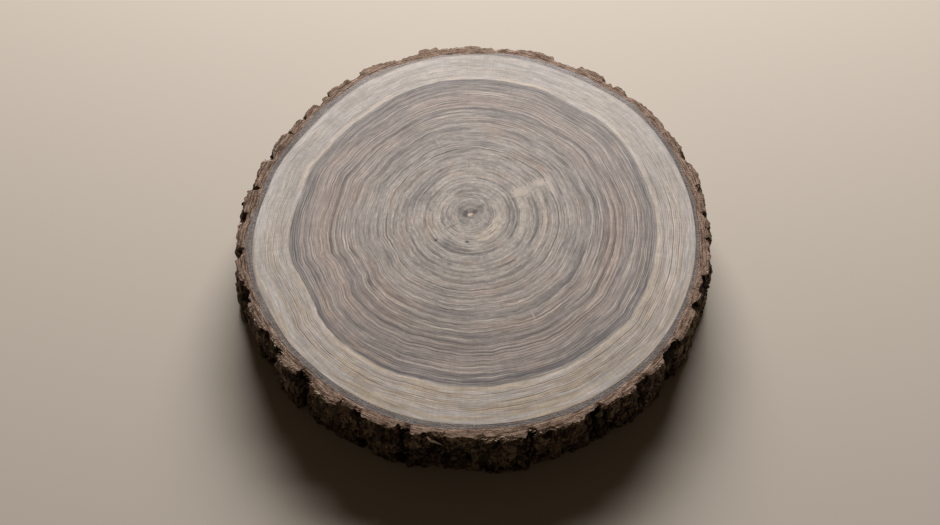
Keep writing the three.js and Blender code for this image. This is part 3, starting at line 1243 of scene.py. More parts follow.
    def bark(self, degrees: np.ndarray, height: np.ndarray) -> tuple[np.ndarray, np.ndarray, np.ndarray]:
        """Gives the outside of the bark, by the angle that its column has at the upper sawn face.

        Args:
            degrees: The columns' angles at the top.
            height: The height of each row.

        Returns:
            The radius, how far a plate stands above its crevice, and which plate it is, or -1.
        """
        floor = self.wood_rim(self.strayed(degrees, height)) + self.crevice_floor
        below = ease((self.thickness - height) / self.belly_depth)
        face = np.zeros_like(floor)
        owner = np.full(floor.shape, -1)
        for index, (start, end, radius) in enumerate(self.plates):
            past = turn_past(degrees, start)
            before = end - start - past
            near = np.clip((np.minimum(past, before) + self.crevice_closing * below) / self.shoulder, 0, 1)
            at = self.thickness * (0.2 + 0.55 * scatter(index, self.break_seed))
            step = self.break_step * (2 * scatter(index, self.step_seed) - 1)
            step = step * ease((at - height) / self.break_height + 0.5)
            lean = self.plate_lean * (2 * scatter(index, self.lean_seed) - 1)
            lean = lean * (past / (end - start) - 0.5)
            rise = np.where(near > 0, (radius + step + lean - floor) * np.sqrt(1 - (1 - near) ** 2), 0)
            owner = np.where(rise > face, index, owner)
            face = np.maximum(face, rise)
        cells, layer = self.belly_cells, self.wander_layer
        fullness = 0.5 + 0.5 * unevenness(degrees, height, cells, layer, self.belly_seed)
        fill = self.crevice_fill + (1 - self.crevice_fill) * np.clip(face / 1.2, 0, 1)
        foot = ease(1 - height / self.foot_height)
        chipped = np.clip(unevenness(degrees, 0.0, cells, layer, self.chip_seed), 0, 1)
        radius = floor + face + self.belly * below * fullness * fill - self.foot_chip * foot * chipped
        return radius, face, owner

    def crevices(self) -> list[tuple[float, float]]:
        """Lists the open crevices.

        Returns:
            The angle of the middle of each, and half of its width.
        """
        found = []
        for index, (_, end, _) in enumerate(self.plates):
            start = self.plates[(index + 1) % len(self.plates)][0]
            gap = (start - end) % 360
            if 0.15 < gap < 20:
                found.append((end + gap / 2, gap / 2))
        return found


class Piece:
    """The steps that every visible piece shares."""

    BODY = "root"

    @staticmethod
    def show(name: str, data: bpy.types.ID) -> Object:
        """Makes an object at the origin.

        Args:
            name: The object's name.
            data: Its mesh, light or camera data.

        Returns:
            The object.
        """
        obj = bpy.data.objects.new(name, data)
        bpy.context.scene.collection.objects.link(obj)
        return obj

    @staticmethod
    def mesh(name: str, points: np.ndarray, faces: Sequence[Sequence[int]]) -> Object:
        """Makes a mesh object at the origin.

        Args:
            name: The piece's name.
            points: Its points, in metres.
            faces: The points of each face.

        Returns:
            The object.
        """
        data = bpy.data.meshes.new(name)
        data.from_pydata(points.tolist(), [], faces)
        data.update()
        return Piece.show(name, data)

    @staticmethod
    def value(obj: Object, name: str, values: np.ndarray, kind: str = "FLOAT", domain: str = "POINT") -> None:
        """Stores one value for each point or face.

        Args:
            obj: The object.
            name: What the value is called.
            values: The values, in order.
            kind: The type of value.
            domain: What each value belongs to.
        """
        layer = obj.data.attributes.new(name, kind, domain)
        field_name = "vector" if kind == "FLOAT_VECTOR" else "value"
        layer.data.foreach_set(field_name, np.ascontiguousarray(values).ravel())

    @staticmethod
    def grow(obj: Object, tree: bpy.types.NodeTree, sizes: Mapping[str, object]) -> None:
        """Runs a tree of geometry nodes on an object and keeps the result as its plain mesh.

        Args:
            obj: The object, whose mesh the tree starts from.
            tree: The tree.
            sizes: What its inputs are set to, by name.
        """
        modifier = obj.modifiers.new(tree.name, "NODES")
        modifier.node_group = tree
        for item in tree.interface.items_tree:
            if item.item_type == "SOCKET" and item.in_out == "INPUT" and item.name in sizes:
                modifier[item.identifier] = sizes[item.name]
        evaluated = obj.evaluated_get(bpy.context.evaluated_depsgraph_get())
        grown = bpy.data.meshes.new_from_object(evaluated)
        obj.modifiers.remove(modifier)
        before = obj.data
        obj.data = grown
        grown.name = obj.name
        bpy.data.meshes.remove(before)

    @classmethod
    def sprout(cls, name: str, bark: Object, tree: bpy.types.NodeTree, sizes: Mapping[str, object]) -> Object:
        """Grows a piece out of a copy of the bark.

        Args:
            name: The piece's name.
            bark: The finished ring of bark.
            tree: The tree that grows it.
            sizes: What the tree's inputs are set to, by name.

        Returns:
            The object.
        """
        obj = cls.show(name, bark.data.copy())
        cls.grow(obj, tree, sizes)
        return obj

    @staticmethod
    def keep_inside(obj: Object, box: tuple[Vector, Vector]) -> None:
        """Trims what stands outside a box.

        Args:
            obj: The object.
            box: The lowest and highest corner, in metres.
        """
        places = np.zeros(len(obj.data.vertices) * 3, np.float32)
        obj.data.vertices.foreach_get("co", places)
        trimmed = np.clip(places.reshape(-1, 3), np.array(box[0]), np.array(box[1]))
        obj.data.vertices.foreach_set("co", trimmed.astype(np.float32).ravel())
        obj.data.update()

    @classmethod
    def finish(cls, obj: Object, slot: str, node: str | None = None) -> None:
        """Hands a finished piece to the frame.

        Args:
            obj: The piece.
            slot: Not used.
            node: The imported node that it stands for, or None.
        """
        if node is not None:
            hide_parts(node)
        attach(obj, cls.BODY)
        LOG.info("%s: %d points, %d faces", obj.name, len(obj.data.vertices), len(obj.data.polygons))


def grid_faces(rows: int, columns: int, closed: bool = False) -> list[tuple[int, ...]]:
    """Joins rows of points, each a closed loop, into faces.

    Args:
        rows: How many rows there are.
        columns: How many points a row has.
        closed: Whether the last row joins the first.

    Returns:
        The faces, whose front is seen where the rows climb as the columns run to the right.
    """
    faces = []
    for row in range(rows if closed else rows - 1):
        low, high = row * columns, (row + 1) % rows * columns
        for column in range(columns):
            after = (column + 1) % columns
            faces.append((low + column, low + after, high + after, high + column))
    return faces


@dataclass(frozen=True)
class RingKink:
    """A stretch where the growth rings leave the outline's own curve."""

    at: float
    reach: float
    shift: float  # share of the way to the rim, outward if positive
    flat: bool = False


@dataclass
class WoodDisc:
    """The disc of wood, on a grid that follows its rings."""

    shape: TrunkShape
    pith: tuple[float, float] = (-3.0, 9.5)
    columns: int = 720
    upper_rows: int = 56
    lower_rows: int = 16
    seam: float = 0.03
    edge_wear: float = 0.06
    full_stray: float = 0.75  # share of the way to the rim where the rings stray in full
    rim_calm: float = 0.06  # share of the way in which they settle again at the rim
    slow_wave: tuple[float, int, float, int] = (0.0022, 24, 1.0, 31)  # swing, count, layer, seed
    quick_waves: tuple[tuple[int, float, int], ...] = ((52, 0.0034, 37), (96, 0.0024, 41))
    waviest: tuple[float, float] = (265, 95)  # angle, reach to each side
    kinks: tuple[RingKink, ...] = (
        RingKink(209, 10.5, -0.015, flat=True),
        RingKink(160, 5, 0.008),
        RingKink(63, 7, 0.009),
        RingKink(22, 12, -0.006),
        RingKink(128, 9, -0.010),
        RingKink(103, 8, 0.006),
        RingKink(232, 7, 0.007),
        RingKink(321, 5, 0.006),
    )

    def build(self, material: Material) -> Object:
        """Makes the disc.

        Args:
            material: The end grain's finish.

        Returns:
            The object.
        """
        turns = np.arange(self.columns) / self.columns * 360
        rim = self._rim_from_pith(turns)
        low, top, wear = 0.0, self.shape.thickness, self.edge_wear
        lower = np.linspace(0, 1, self.lower_rows)[1:]
        upper = np.linspace(0, 1, self.upper_rows)[:0:-1]
        rows = [(share, low, wear if share == 1 else 0.0) for share in lower]
        rows += [(1.0, low + wear, 0.0), (1.0, top - wear, 0.0)]
        rows += [(share, top, wear if share == 1 else 0.0) for share in upper]
        cos, sin = np.cos(np.radians(turns)), np.sin(np.radians(turns))
        x, y = self.pith
        points = []
        for share, height, inset in rows:
            radius = rim * share - inset
            points.append(self.shape.place(x + radius * cos, y + radius * sin, height))
        centre = [self.shape.place(x, y, height) for height in (low, top)]
        shares = [self._ring_share(share, turns) for share, _, _ in rows]
        faces = grid_faces(len(rows), self.columns)
        last, count = (len(rows) - 1) * self.columns, len(rows) * self.columns
        for column in range(self.columns):
            after = (column + 1) % self.columns
            faces.append((count, after, column))
            faces.append((count + 1, last + column, last + after))
        obj = Piece.mesh("wood_disc", np.vstack([*points, *centre]), faces)
        Piece.value(obj, "ring_share", np.r_[np.concatenate(shares), 0.0, 0.0])
        obj.data.materials.append(material)
        return obj

    def _rim_from_pith(self, turns: np.ndarray) -> np.ndarray:
        """Gives how far the wood's rim is from the pith.

        Args:
            turns: The directions from the pith.

        Returns:
            The distance in each.
        """
        angles = np.linspace(0, 360, 4321)[:-1]
        radii = self.shape.wood_rim(angles) - self.seam
        x = radii * np.cos(np.radians(angles)) - self.pith[0]
        y = radii * np.sin(np.radians(angles)) - self.pith[1]
        seen = np.degrees(np.arctan2(y, x)) % 360
        order = np.argsort(seen)
        return np.interp(turns, seen[order], np.hypot(x, y)[order], period=360)

    def _ring_share(self, share: float, turns: np.ndarray) -> np.ndarray:
        """Gives each point's place among the rings, which stray from copies of the outline.

        Args:
            share: The share of the way to the rim.
            turns: The direction from the pith.

        Returns:
            The share of the way to the rim of the ring that passes there.
        """
        strength = ease(share / self.full_stray) * ease((1 - share) / self.rim_calm)
        stray = np.zeros_like(turns)
        for kink in self.kinks:
            away = np.abs(turn_past(turns, kink.at)) / kink.reach
            swell = 1 - ease(away * 2 - 1) if kink.flat else np.exp(-away * away)
            stray += kink.shift * swell
        slow_swing, *pattern = self.slow_wave
        stray += slow_swing * unevenness(turns, 0.0, *pattern)
        middle, reach = self.waviest
        wavy = 0.4 + 0.6 * ease(1 - np.abs(turn_past(turns, middle)) / reach)
        for cells, swing, seed in self.quick_waves:
            stray += swing * wavy * unevenness(turns, share * 60, cells, 14.0, seed)
        return share - stray * strength


class FormTree(NodeGroup):
    """A tree of geometry nodes that changes a mesh or lays small forms on it."""

    TONE_SEED = 21

    def __init__(self, name: str, inputs: Mapping[str, Kind | float]) -> None:
        """Makes the tree with its inputs, of which the geometry comes first.

        Args:
            name: The tree's name.
            inputs: The other inputs, as a node group takes them.
        """
        geometry = {"Geometry": Kind.GEOMETRY}
        super().__init__(name, {**geometry, **inputs}, geometry, "GeometryNodeTree")
        self.tree.is_modifier = True

    def value(self, name: str, kind: str = "FLOAT") -> Socket:
        """Reads one of the mesh's own values."""
        return self.one("GeometryNodeInputNamedAttribute", {"Name": name}, data_type=kind)

    def store(self, geometry: Feed, name: str, value: Feed, domain: str = "POINT") -> Socket:
        """Stores a value in a mesh.

        Args:
            geometry: The mesh.
            name: What the value is called.
            value: The value.
            domain: What each value belongs to.

        Returns:
            The mesh's socket.
        """
        feeds = {"Geometry": geometry, "Name": name, "Value": value}
        return self.one("GeometryNodeStoreNamedAttribute", feeds, data_type="FLOAT", domain=domain)

    def draw(self, low: Feed, high: Feed, seed: Feed) -> Socket:
        """Draws a number or a vector for each element.

        Args:
            low: The least that it can be.
            high: The most that it can be.
            seed: Which draw it is.

        Returns:
            The socket of what is drawn.
        """
        is_vector = isinstance(low, tuple)
        first, kind = (0, "FLOAT_VECTOR") if is_vector else (2, "FLOAT")
        feeds = {first: low, first + 1: high, "Seed": seed}
        return self.add("FunctionNodeRandomValue", feeds, data_type=kind).outputs[0 if is_vector else 1]

    def stir(self, vector: Feed, per_metre: float, detail: float) -> Socket:
        """Gives each place a vector of noise, of 0 to 1 each way."""
        feeds = {"Vector": vector, "Scale": per_metre, "Detail": detail}
        return self.add("ShaderNodeTexNoise", feeds).outputs["Color"]

    def points(self, density: Feed, on: Feed = True) -> Mapping[str, Socket]:
        """Strews points on the mesh.

        Args:
            density: How many there are to a square metre.
            on: Which faces they may lie on.

        Returns:
            The sockets of the points and of their normals, by name.
        """
        mesh, seed = self.given["Geometry"], self.given["Seed"]
        feeds = {"Mesh": mesh, "Selection": on, "Density": density, "Seed": seed}
        return self.add("GeometryNodeDistributePointsOnFaces", feeds, distribute_method="RANDOM").outputs

    def cone(self, corners: int, rings: int, top: float, depth: Feed) -> Socket:
        """Makes a cone with a flat top, whose foot has a radius of 1.

        Args:
            corners: How many corners it has.
            rings: How many rings of faces its side has.
            top: The top's radius.
            depth: How high it is.

        Returns:
            The mesh's socket.
        """
        feeds = {"Vertices": corners, "Side Segments": rings, "Fill Segments": 1}
        feeds |= {"Radius Top": top, "Radius Bottom": 1.0, "Depth": depth}
        return self.one("GeometryNodeMeshCone", feeds, fill_type="NGON")

    def facing(self, way: Feed) -> Socket:
        """Turns a form so that its top looks along a vector."""
        return self.one("FunctionNodeAlignRotationToVector", {"Vector": way}, axis="Z", pivot_axis="AUTO")

    def lay(self, laid: Mapping[str, Feed], per_metre: float, detail: float, reach: float) -> None:
        """Lays a form on each point, gives each a tone of its own, bends them and ends the tree.

        Args:
            laid: The points, the form, its rotation and its scale.
            per_metre: How many bends there are to a metre.
            detail: How many finer layers these have.
            reach: How far they reach, in metres.
        """
        forms = self.one("GeometryNodeInstanceOnPoints", laid)
        forms = self.store(forms, "tone", self.draw(0.0, 1.0, self.TONE_SEED), "INSTANCE")
        real = self.one("GeometryNodeRealizeInstances", {"Geometry": forms})
        bend = self.stir(self.one("GeometryNodeInputPosition"), per_metre, detail)
        bend = self.vector_math("MULTIPLY", self.vector_math("SUBTRACT", bend, (0.5,) * 3), (reach,) * 3)
        real = self.one("GeometryNodeSetPosition", {"Geometry": real, "Offset": bend})
        dressed = self.one("GeometryNodeSetMaterial", {"Geometry": real, "Material": self.given["Finish"]})
        self.give({"Geometry": dressed})


class BarkRelief(FormTree):
    """The tree that roughens the bark: scales in layers, upright streaks and cracks between them."""

    TERRACES = 5.0

    def __init__(self) -> None:
        """Makes the tree, which moves each point in towards the trunk by its share of the relief."""
        inputs = {
            "Streak depth": 0.0009,
            "Streaks per metre": 330.0,
            "Scale depth": 0.0012,
            "Scales per metre": 120.0,
            "Crack depth": 0.0018,
            "Cracks per metre": 88.0,
            "Seed": 4.0,
            "Wall finish": Kind.MATERIAL,
            "Sawn finish": Kind.MATERIAL,
        }
        super().__init__("bark_relief", inputs)
        given = self.given
        wall = self.value("wall_point", "FLOAT_VECTOR")
        shift = self.upward(given["Seed"])
        upright = self.vector_math("MULTIPLY_ADD", wall, (1.0, 1.0, 0.28), shift)
        squat = self.vector_math("MULTIPLY_ADD", wall, (1.0, 1.0, 0.45), shift)
        streaks = self.noise(upright, given["Streaks per metre"], 4, 0.65)
        scales = self.noise(squat, given["Scales per metre"], 3, 0.55, 0.6)
        terraces = self.times(self.spread(scales, 0.25, 0.75), self.TERRACES)
        riser = self.spread(self.math("FRACT", terraces), 0.0, 0.3)
        layer = self.math("DIVIDE", self.math("ADD", self.math("FLOOR", terraces), riser), self.TERRACES)
        warped = self.stir(squat, 160.0, 2.0)
        crooked = self.vector_math("MULTIPLY_ADD", warped, (0.009, 0.009, 0.009), upright)
        feeds = {"Vector": crooked, "Scale": given["Cracks per metre"]}
        to_crack = self.one("ShaderNodeTexVoronoi", feeds, feature="DISTANCE_TO_EDGE")
        open_part = self.spread(self.noise(squat, 60.0), 0.40, 0.58)
        crack = self.times(self.spread(to_crack, 0.15, 0.03), open_part)

        give = self.value("give")
        depth = self.times(self.rest(self.spread(streaks, 0.3, 0.7)), given["Streak depth"])
        depth = self.math("MULTIPLY_ADD", self.rest(layer), given["Scale depth"], depth)
        depth = self.math("MULTIPLY_ADD", crack, given["Crack depth"], depth)
        depth = self.times(depth, give)
        offset = self.scaled(self.value("outward", "FLOAT_VECTOR"), self.times(depth, -1.0))
        moved = self.one("GeometryNodeSetPosition", {"Geometry": given["Geometry"], "Offset": offset})
        moved = self.store(moved, "layer", layer)
        # keeps the cracks for the finishes, which paint shade into them
        moved = self.store(moved, "crack", self.times(crack, self.spread(give, 0.35, 0.95)))
        dressed = self.one("GeometryNodeRealizeInstances", {"Geometry": moved})
        for chosen, finish in ((True, "Wall finish"), (self.value("sawn", "BOOLEAN"), "Sawn finish")):
            feeds = {"Geometry": dressed, "Selection": chosen, "Material": given[finish]}
            dressed = self.one("GeometryNodeSetMaterial", feeds)
        self.give({"Geometry": dressed})


@dataclass(frozen=True)
class Pit:
    """A hollow in the bark's wall, darkened with painted shade by the wall's finish."""

    at: float
    fall: float  # below the upper sawn face
    reach: tuple[float, float]  # degrees to each side, and millimetres up and down


@dataclass
class BarkRing:
    """The ring of bark: its two sawn faces, its furrowed wall and the inside against the wood."""

    shape: TrunkShape
    pits: tuple[Pit, ...] = (
        Pit(209.5, 40, (1.4, 7)),
        Pit(225.5, 40, (1.2, 8)),
        Pit(241.0, 26, (0.8, 6)),
        Pit(242.0, 39, (1.4, 5)),
        Pit(252.2, 34.5, (1.6, 5)),
        Pit(254.5, 21.5, (1.0, 5)),
        Pit(268.2, 27, (1.1, 9)),
        Pit(279.2, 37.5, (1.8, 3.5)),
        Pit(282.6, 22, (0.6, 9)),
        Pit(285.5, 35, (1.0, 5)),
        Pit(298.4, 27, (1.1, 6)),
        Pit(297.8, 9, (0.6, 7)),
        Pit(301.6, 14, (0.8, 10)),
        Pit(312.6, 14, (0.8, 11)),
        Pit(324.0, 34, (1.4, 8)),
    )
    pit_depth: float = 2.6
    columns: int = 1500
    wall_rows: int = 34
    sawn_rows: int = 13
    under_rows: int = 7
    notch_depth: float = 0.3
    narrow_notch: float = 0.3
    edge_drop: float = 1.0
    edge_reach: float = 2.6
    edge_calm: float = 0.30  # share of the relief that reaches the upper sawn edge
    calm_depth: float = 6.0
    crevice_crumbs: float = 3.0  # most that crumbled bark fills a crevice by
    ragged_sides: float = 0.6  # angle by which the sides of a crevice stray
    ragged_layers: tuple[tuple[int, float, int], ...] = ((330, 3.0, 89), (130, 5.0, 91))
    torn_reach: float = 1.4  # in from the edge
    torn_depth: float = 1.8  # down from the sawn face
    torn_side: tuple[float, float] = (270, 75)  # angle where most fibres are torn, reach to each side
    lead: float = 1.3  # how far the wall starts outside the trunk's own form, for the relief to cut into
    streak_depth: float = 0.8
    scale_depth: float = 1.2
    crack_depth: float = 2.0
    seed: float = 4.0
    nicks: tuple[tuple[int, float, float, int], ...] = (
        (95, 7.0, 0.60, 71), (230, 4.0, 0.55, 73), (470, 2.5, 0.50, 79), (750, 1.6, 0.35, 83),
    )  # how many there are round the trunk, how tall, how deep, and the seed

    def build(self, wall: Material, sawn: Material) -> Object:
        """Makes the ring.

        Args:
            wall: The finish of the bark's outside.
            sawn: The finish of its sawn faces.

        Returns:
            The object.
        """
        shape = self.shape
        rows = self._rows()

        def gather(key: str) -> np.ndarray:
            """Joins one value of all rows."""
            return np.concatenate([np.broadcast_to(row[key], self.columns) for row in rows])

        degrees, radial, height, edge = (gather(key) for key in ("angle", "radius", "height", "edge_radius"))
        cloud = shape.around(degrees, radial, height)
        obj = Piece.mesh("bark_ring", cloud, grid_faces(len(rows), self.columns, closed=True))
        row_of_face = np.repeat(np.arange(len(rows)), self.columns)
        first_wall, last_wall = self.under_rows - 1, self.under_rows - 1 + self.wall_rows - 1
        is_sawn = (row_of_face < first_wall) | (row_of_face >= last_wall)
        obj.data.polygons.foreach_set("use_smooth", ~is_sawn)
        angle = np.radians(degrees)
        outward = np.stack([np.cos(angle), np.sin(angle), 0 * angle], axis=-1)
        Piece.value(obj, "sawn", is_sawn, "BOOLEAN", "FACE")
        Piece.value(obj, "outward", outward, "FLOAT_VECTOR")
        Piece.value(obj, "wall_point", shape.around(degrees, edge, gather("edge_height")), "FLOAT_VECTOR")
        values = {
            "give": gather("give"),
            "bark_in": radial - gather("inner"),
            "to_edge": edge - radial,
            "torn": self._torn(degrees, edge - radial, height),
            "raised": np.clip(gather("face") / 2.5, 0, 1),
            "plate_tone": scatter(gather("owner").astype(float), 61),
        }
        for name, value in values.items():
            Piece.value(obj, name, value)
        sizes = {
            "Streak depth": self.streak_depth * MM,
            "Scale depth": self.scale_depth * MM,
            "Crack depth": self.crack_depth * MM,
            "Seed": self.seed,
            "Wall finish": wall,
            "Sawn finish": sawn,
        }
        Piece.grow(obj, BarkRelief().tree, sizes)
        Piece.keep_inside(obj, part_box("bark"))
        return obj

    def _rows(self) -> list[dict[str, Values]]:
        """Makes the rows of points, from the lower sawn face up the wall and back in over the upper one.

        Returns:
            Each row's values by name.
        """
        shape = self.shape
        angles = np.arange(self.columns) / self.columns * 360
        heights = shape.thickness * (1 - (1 - np.linspace(0, 1, self.wall_rows)) ** 1.25)
        drop = self.edge_drop * np.clip(0.35 + 0.9 * unevenness(angles, 0.0, 150, 1.0, 53), 0, 1)
        side = self._wall(*np.meshgrid(angles, heights), drop)
        wall = [{key: values[row] for key, values in side.items()} for row in range(self.wall_rows)]
        foot, top = wall[0], wall[-1]["radius"]
        rows = [
            self._sawn_row(foot["angle"], foot["inner"], foot["radius"], share, 0.0)
            for share in np.linspace(0, 1, self.under_rows)[:-1]
        ]
        rows += wall
        rim = shape.wood_rim(angles)
        for share in (1 - (1 - np.linspace(0, 1, self.sawn_rows)) ** 1.35)[-2::-1]:
            fallen = drop * ease(1 - (1 - share) * (top - rim) / self.edge_reach)
            row = self._sawn_row(angles, rim, top, share, shape.thickness - fallen)
            row["give"] = row["give"] * self.edge_calm
            rows.append(row)
        return rows

    def _wall(self, degrees: np.ndarray, height: np.ndarray, drop: np.ndarray) -> dict[str, np.ndarray]:
        """Makes the outside of the bark, before the relief cuts into it.

        Args:
            degrees: Each point's angle at the upper sawn face.
            height: Its height.
            drop: How far each column's upper end has broken off.

        Returns:
            The points' values by name, a row of points each.
        """
        shape = self.shape
        ragged = sum(self.ragged_sides * unevenness(degrees, height, *layer) for layer in self.ragged_layers)
        radius, face, owner = shape.bark(degrees + ragged, height)
        near_top = ease(1 - (shape.thickness - height) / self.calm_depth)
        crumbs = np.clip(0.45 + 0.9 * unevenness(degrees, height, 150, 8.0, 101), 0, 1)
        crumbs *= self.crevice_crumbs * (1 - 0.45 * near_top) * np.clip(1 - face / 2.2, 0, 1)
        radius, face = radius + crumbs, face + 0.3 * crumbs
        give = 1 - (1 - self.edge_calm) * near_top
        radius = radius - self._notch(degrees) * (0.4 + 0.6 * near_top) + self.lead * give
        radius = radius + self._nicks(degrees, height) * (0.5 + 0.5 * near_top)
        turned = shape.strayed(degrees, height)
        pitted = self._pitted(turned, shape.thickness - height)
        radius = radius - self.pit_depth * pitted * (1 - near_top)
        return {
            "angle": turned,
            "radius": radius,
            "height": height - drop * (height / shape.thickness) ** 8,
            "give": give,
            "edge_radius": radius,
            "edge_height": height,
            "inner": shape.wood_rim(turned),
            # pits count as low places, so the wall's finish paints shade into them
            "face": face * (1 - pitted),
            "owner": owner,
        }

    def _pitted(self, degrees: np.ndarray, fall: np.ndarray) -> np.ndarray:
        """Marks where the pits are.

        Args:
            degrees: Each point's angle.
            fall: How far it is below the upper sawn face.

        Returns:
            How much of a pit is there, from 0 to 1.
        """
        pitted = np.zeros_like(fall)
        fray = 0.45 * unevenness(degrees, fall, 260, 3.5, 103)
        for pit in self.pits:
            aside = turn_past(degrees, pit.at) / pit.reach[0]
            away = np.hypot(aside, (fall - pit.fall) / pit.reach[1]) + fray
            pitted = np.maximum(pitted, ease((1.3 - away) / 0.7))
        return pitted

    def _torn(self, degrees: np.ndarray, to_edge: np.ndarray, height: np.ndarray) -> np.ndarray:
        """Marks where the saw tore fibres out of the upper edge.

        Args:
            degrees: Each point's angle.
            to_edge: How far it is from the outside.
            height: Its height.

        Returns:
            How thick the fibres stand there, from 0 to 1.
        """
        is_high = height > self.shape.thickness - self.torn_depth
        near = np.clip(1 - to_edge / self.torn_reach, 0, 1) * is_high
        middle, reach = self.torn_side
        side = 0.12 + 0.88 * ease(1.3 - np.abs(turn_past(degrees, middle)) / reach)
        tufts = np.clip(unevenness(degrees, 0.0, 70, 1.0, 97) * 2.2, 0, 1)
        return near * side * tufts

    def _nicks(self, degrees: np.ndarray, height: np.ndarray) -> np.ndarray:
        """Gives the small unevenness of the sawn edge and of the plates under it.

        Args:
            degrees: Each point's angle.
            height: Its height.

        Returns:
            How far it stands out.
        """
        nicks = np.zeros_like(degrees)
        for cells, layer, swing, seed in self.nicks:
            nicks += swing * unevenness(degrees, height, cells, layer, seed)
        return nicks

    def _notch(self, degrees: np.ndarray) -> np.ndarray:
        """Gives how much deeper a crevice is cut along its middle.

        Args:
            degrees: Each point's angle.

        Returns:
            The depth there.
        """
        depth = np.zeros_like(degrees)
        for middle, half in self.shape.crevices():
            reach = min(max(half, 0.45), 1.1)
            away = np.abs(turn_past(degrees, middle)) / reach
            deepest = self.narrow_notch if half < 0.4 else self.notch_depth * min(half / 1.2, 1)
            depth = np.maximum(depth, deepest * np.clip(1 - away, 0, 1))
        return depth

    @staticmethod
    def _sawn_row(
        angle: np.ndarray, inner: np.ndarray, outer: np.ndarray, share: float, height: Values
    ) -> dict[str, Values]:
        """Makes one row of points on a sawn face.

        Args:
            angle: Each column's angle.
            inner: The radius of the wood there.
            outer: The radius of the bark's outside there.
            share: How far the row is from the wood to the outside.
            height: The row's height.

        Returns:
            The row's values by name.
        """
        return {
            "angle": angle,
            "radius": inner + (outer - inner) * share,
            "height": height,
            "give": share**2,
            "edge_radius": outer,
            "edge_height": height,
            "inner": inner,
            "face": 2.0,
            "owner": 0,
        }


class FlakeScatter(FormTree):
    """The tree that lays scales of bark on the wall."""

    STRETCH_SEED = 9

    def __init__(self) -> None:
        """Makes the tree, which turns the bark's mesh into the scales that lie on it."""
        inputs = {
            "Flakes per square metre": 30000.0,
            "Least size": 0.0012,
            "Greatest size": 0.0034,
            "Thickness": 0.25,
            "Seed": 5,
            "Finish": Kind.MATERIAL,
        }
        super().__init__("bark_flakes", inputs)
        given = self.given
        open_face = self.spread(self.value("raised"), 0.25, 0.7)
        height = self.axes(self.one("GeometryNodeInputPosition"))[2]
        clear = self.times(self.spread(height, 0.003, 0.006), self.spread(height, 0.041, 0.037))
        density = self.times(given["Flakes per square metre"], self.times(open_face, clear))
        points = self.points(density, self.rest(self.value("sawn", "BOOLEAN")))
        tilt = self.draw((-0.22, -0.22, -0.5), (0.22, 0.22, 0.5), given["Seed"])
        turns = {0: self.facing(points["Normal"]), 1: self.one("FunctionNodeEulerToRotation", {0: tilt})}
        size = self.draw(given["Least size"], given["Greatest size"], given["Seed"])
        stretch = self.draw((0.7, 0.7, 0.8), (1.2, 1.7, 1.3), self.STRETCH_SEED)
        cube = self.one("ShaderNodeCombineXYZ", {0: size, 1: size, 2: size})
        laid = {
            "Points": points["Points"],
            "Instance": self.cone(7, 1, 0.72, given["Thickness"]),
            "Rotation": self.one("FunctionNodeRotateRotation", turns, rotation_space="LOCAL"),
            "Scale": self.vector_math("MULTIPLY", stretch, cube),
        }
        self.lay(laid, 700.0, 2.0, 0.0014)


@dataclass
class BarkFlakes:
    """The loose scales on the bark's wall."""

    per_square_metre: float = 30000.0
    least: float = 0.8
    greatest: float = 2.2
    thickness: float = 0.26  # of a scale's size
    seed: int = 5

    def build(self, bark: Object, material: Material) -> Object:
        """Lays the scales.

        Args:
            bark: The finished ring of bark.
            material: The scales' finish.

        Returns:
            The object that holds them all.
        """
        sizes = {
            "Flakes per square metre": self.per_square_metre,
            "Least size": self.least * MM,
            "Greatest size": self.greatest * MM,
            "Thickness": self.thickness,
            "Seed": self.seed,
            "Finish": material,
        }
        obj = Piece.sprout("bark_flakes", bark, FlakeScatter().tree, sizes)
        Piece.keep_inside(obj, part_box("bark"))
        return obj


class FibreScatter(FormTree):
    """The tree that stands torn fibres along the sawn edge."""

    LENGTH_SEED = 13
    WIDTH_SEED = 17

    def __init__(self) -> None:
        """Makes the tree, which turns the bark's mesh into the fibres that hang on its edge."""
        inputs = {
            "Fibres per square metre": 400000.0,
            "Least length": 0.001,
            "Greatest length": 0.004,
            "Width": 0.0002,
            "Seed": 8,
            "Finish": Kind.MATERIAL,
        }
        super().__init__("torn_fibres", inputs)
        given = self.given
        points = self.points(self.times(given["Fibres per square metre"], self.value("torn")))
        along = self.vector_math("CROSS_PRODUCT", self.value("outward", "FLOAT_VECTOR"), (0.0, 0.0, 1.0))
        stray = self.draw((-0.5, -0.5, -0.7), (0.5, 0.5, 0.25), given["Seed"])
        length = self.draw(given["Least length"], given["Greatest length"], self.LENGTH_SEED)
        wide = self.times(self.draw(0.6, 1.7, self.WIDTH_SEED), given["Width"])
        laid = {
            "Points": points["Points"],
            "Instance": self.cone(5, 5, 0.12, 1.0),
            "Rotation": self.facing(self.vector_math("ADD", along, stray)),
            "Scale": self.one("ShaderNodeCombineXYZ", {0: wide, 1: wide, 2: length}),
        }
        self.lay(laid, 380.0, 1.0, 0.003)


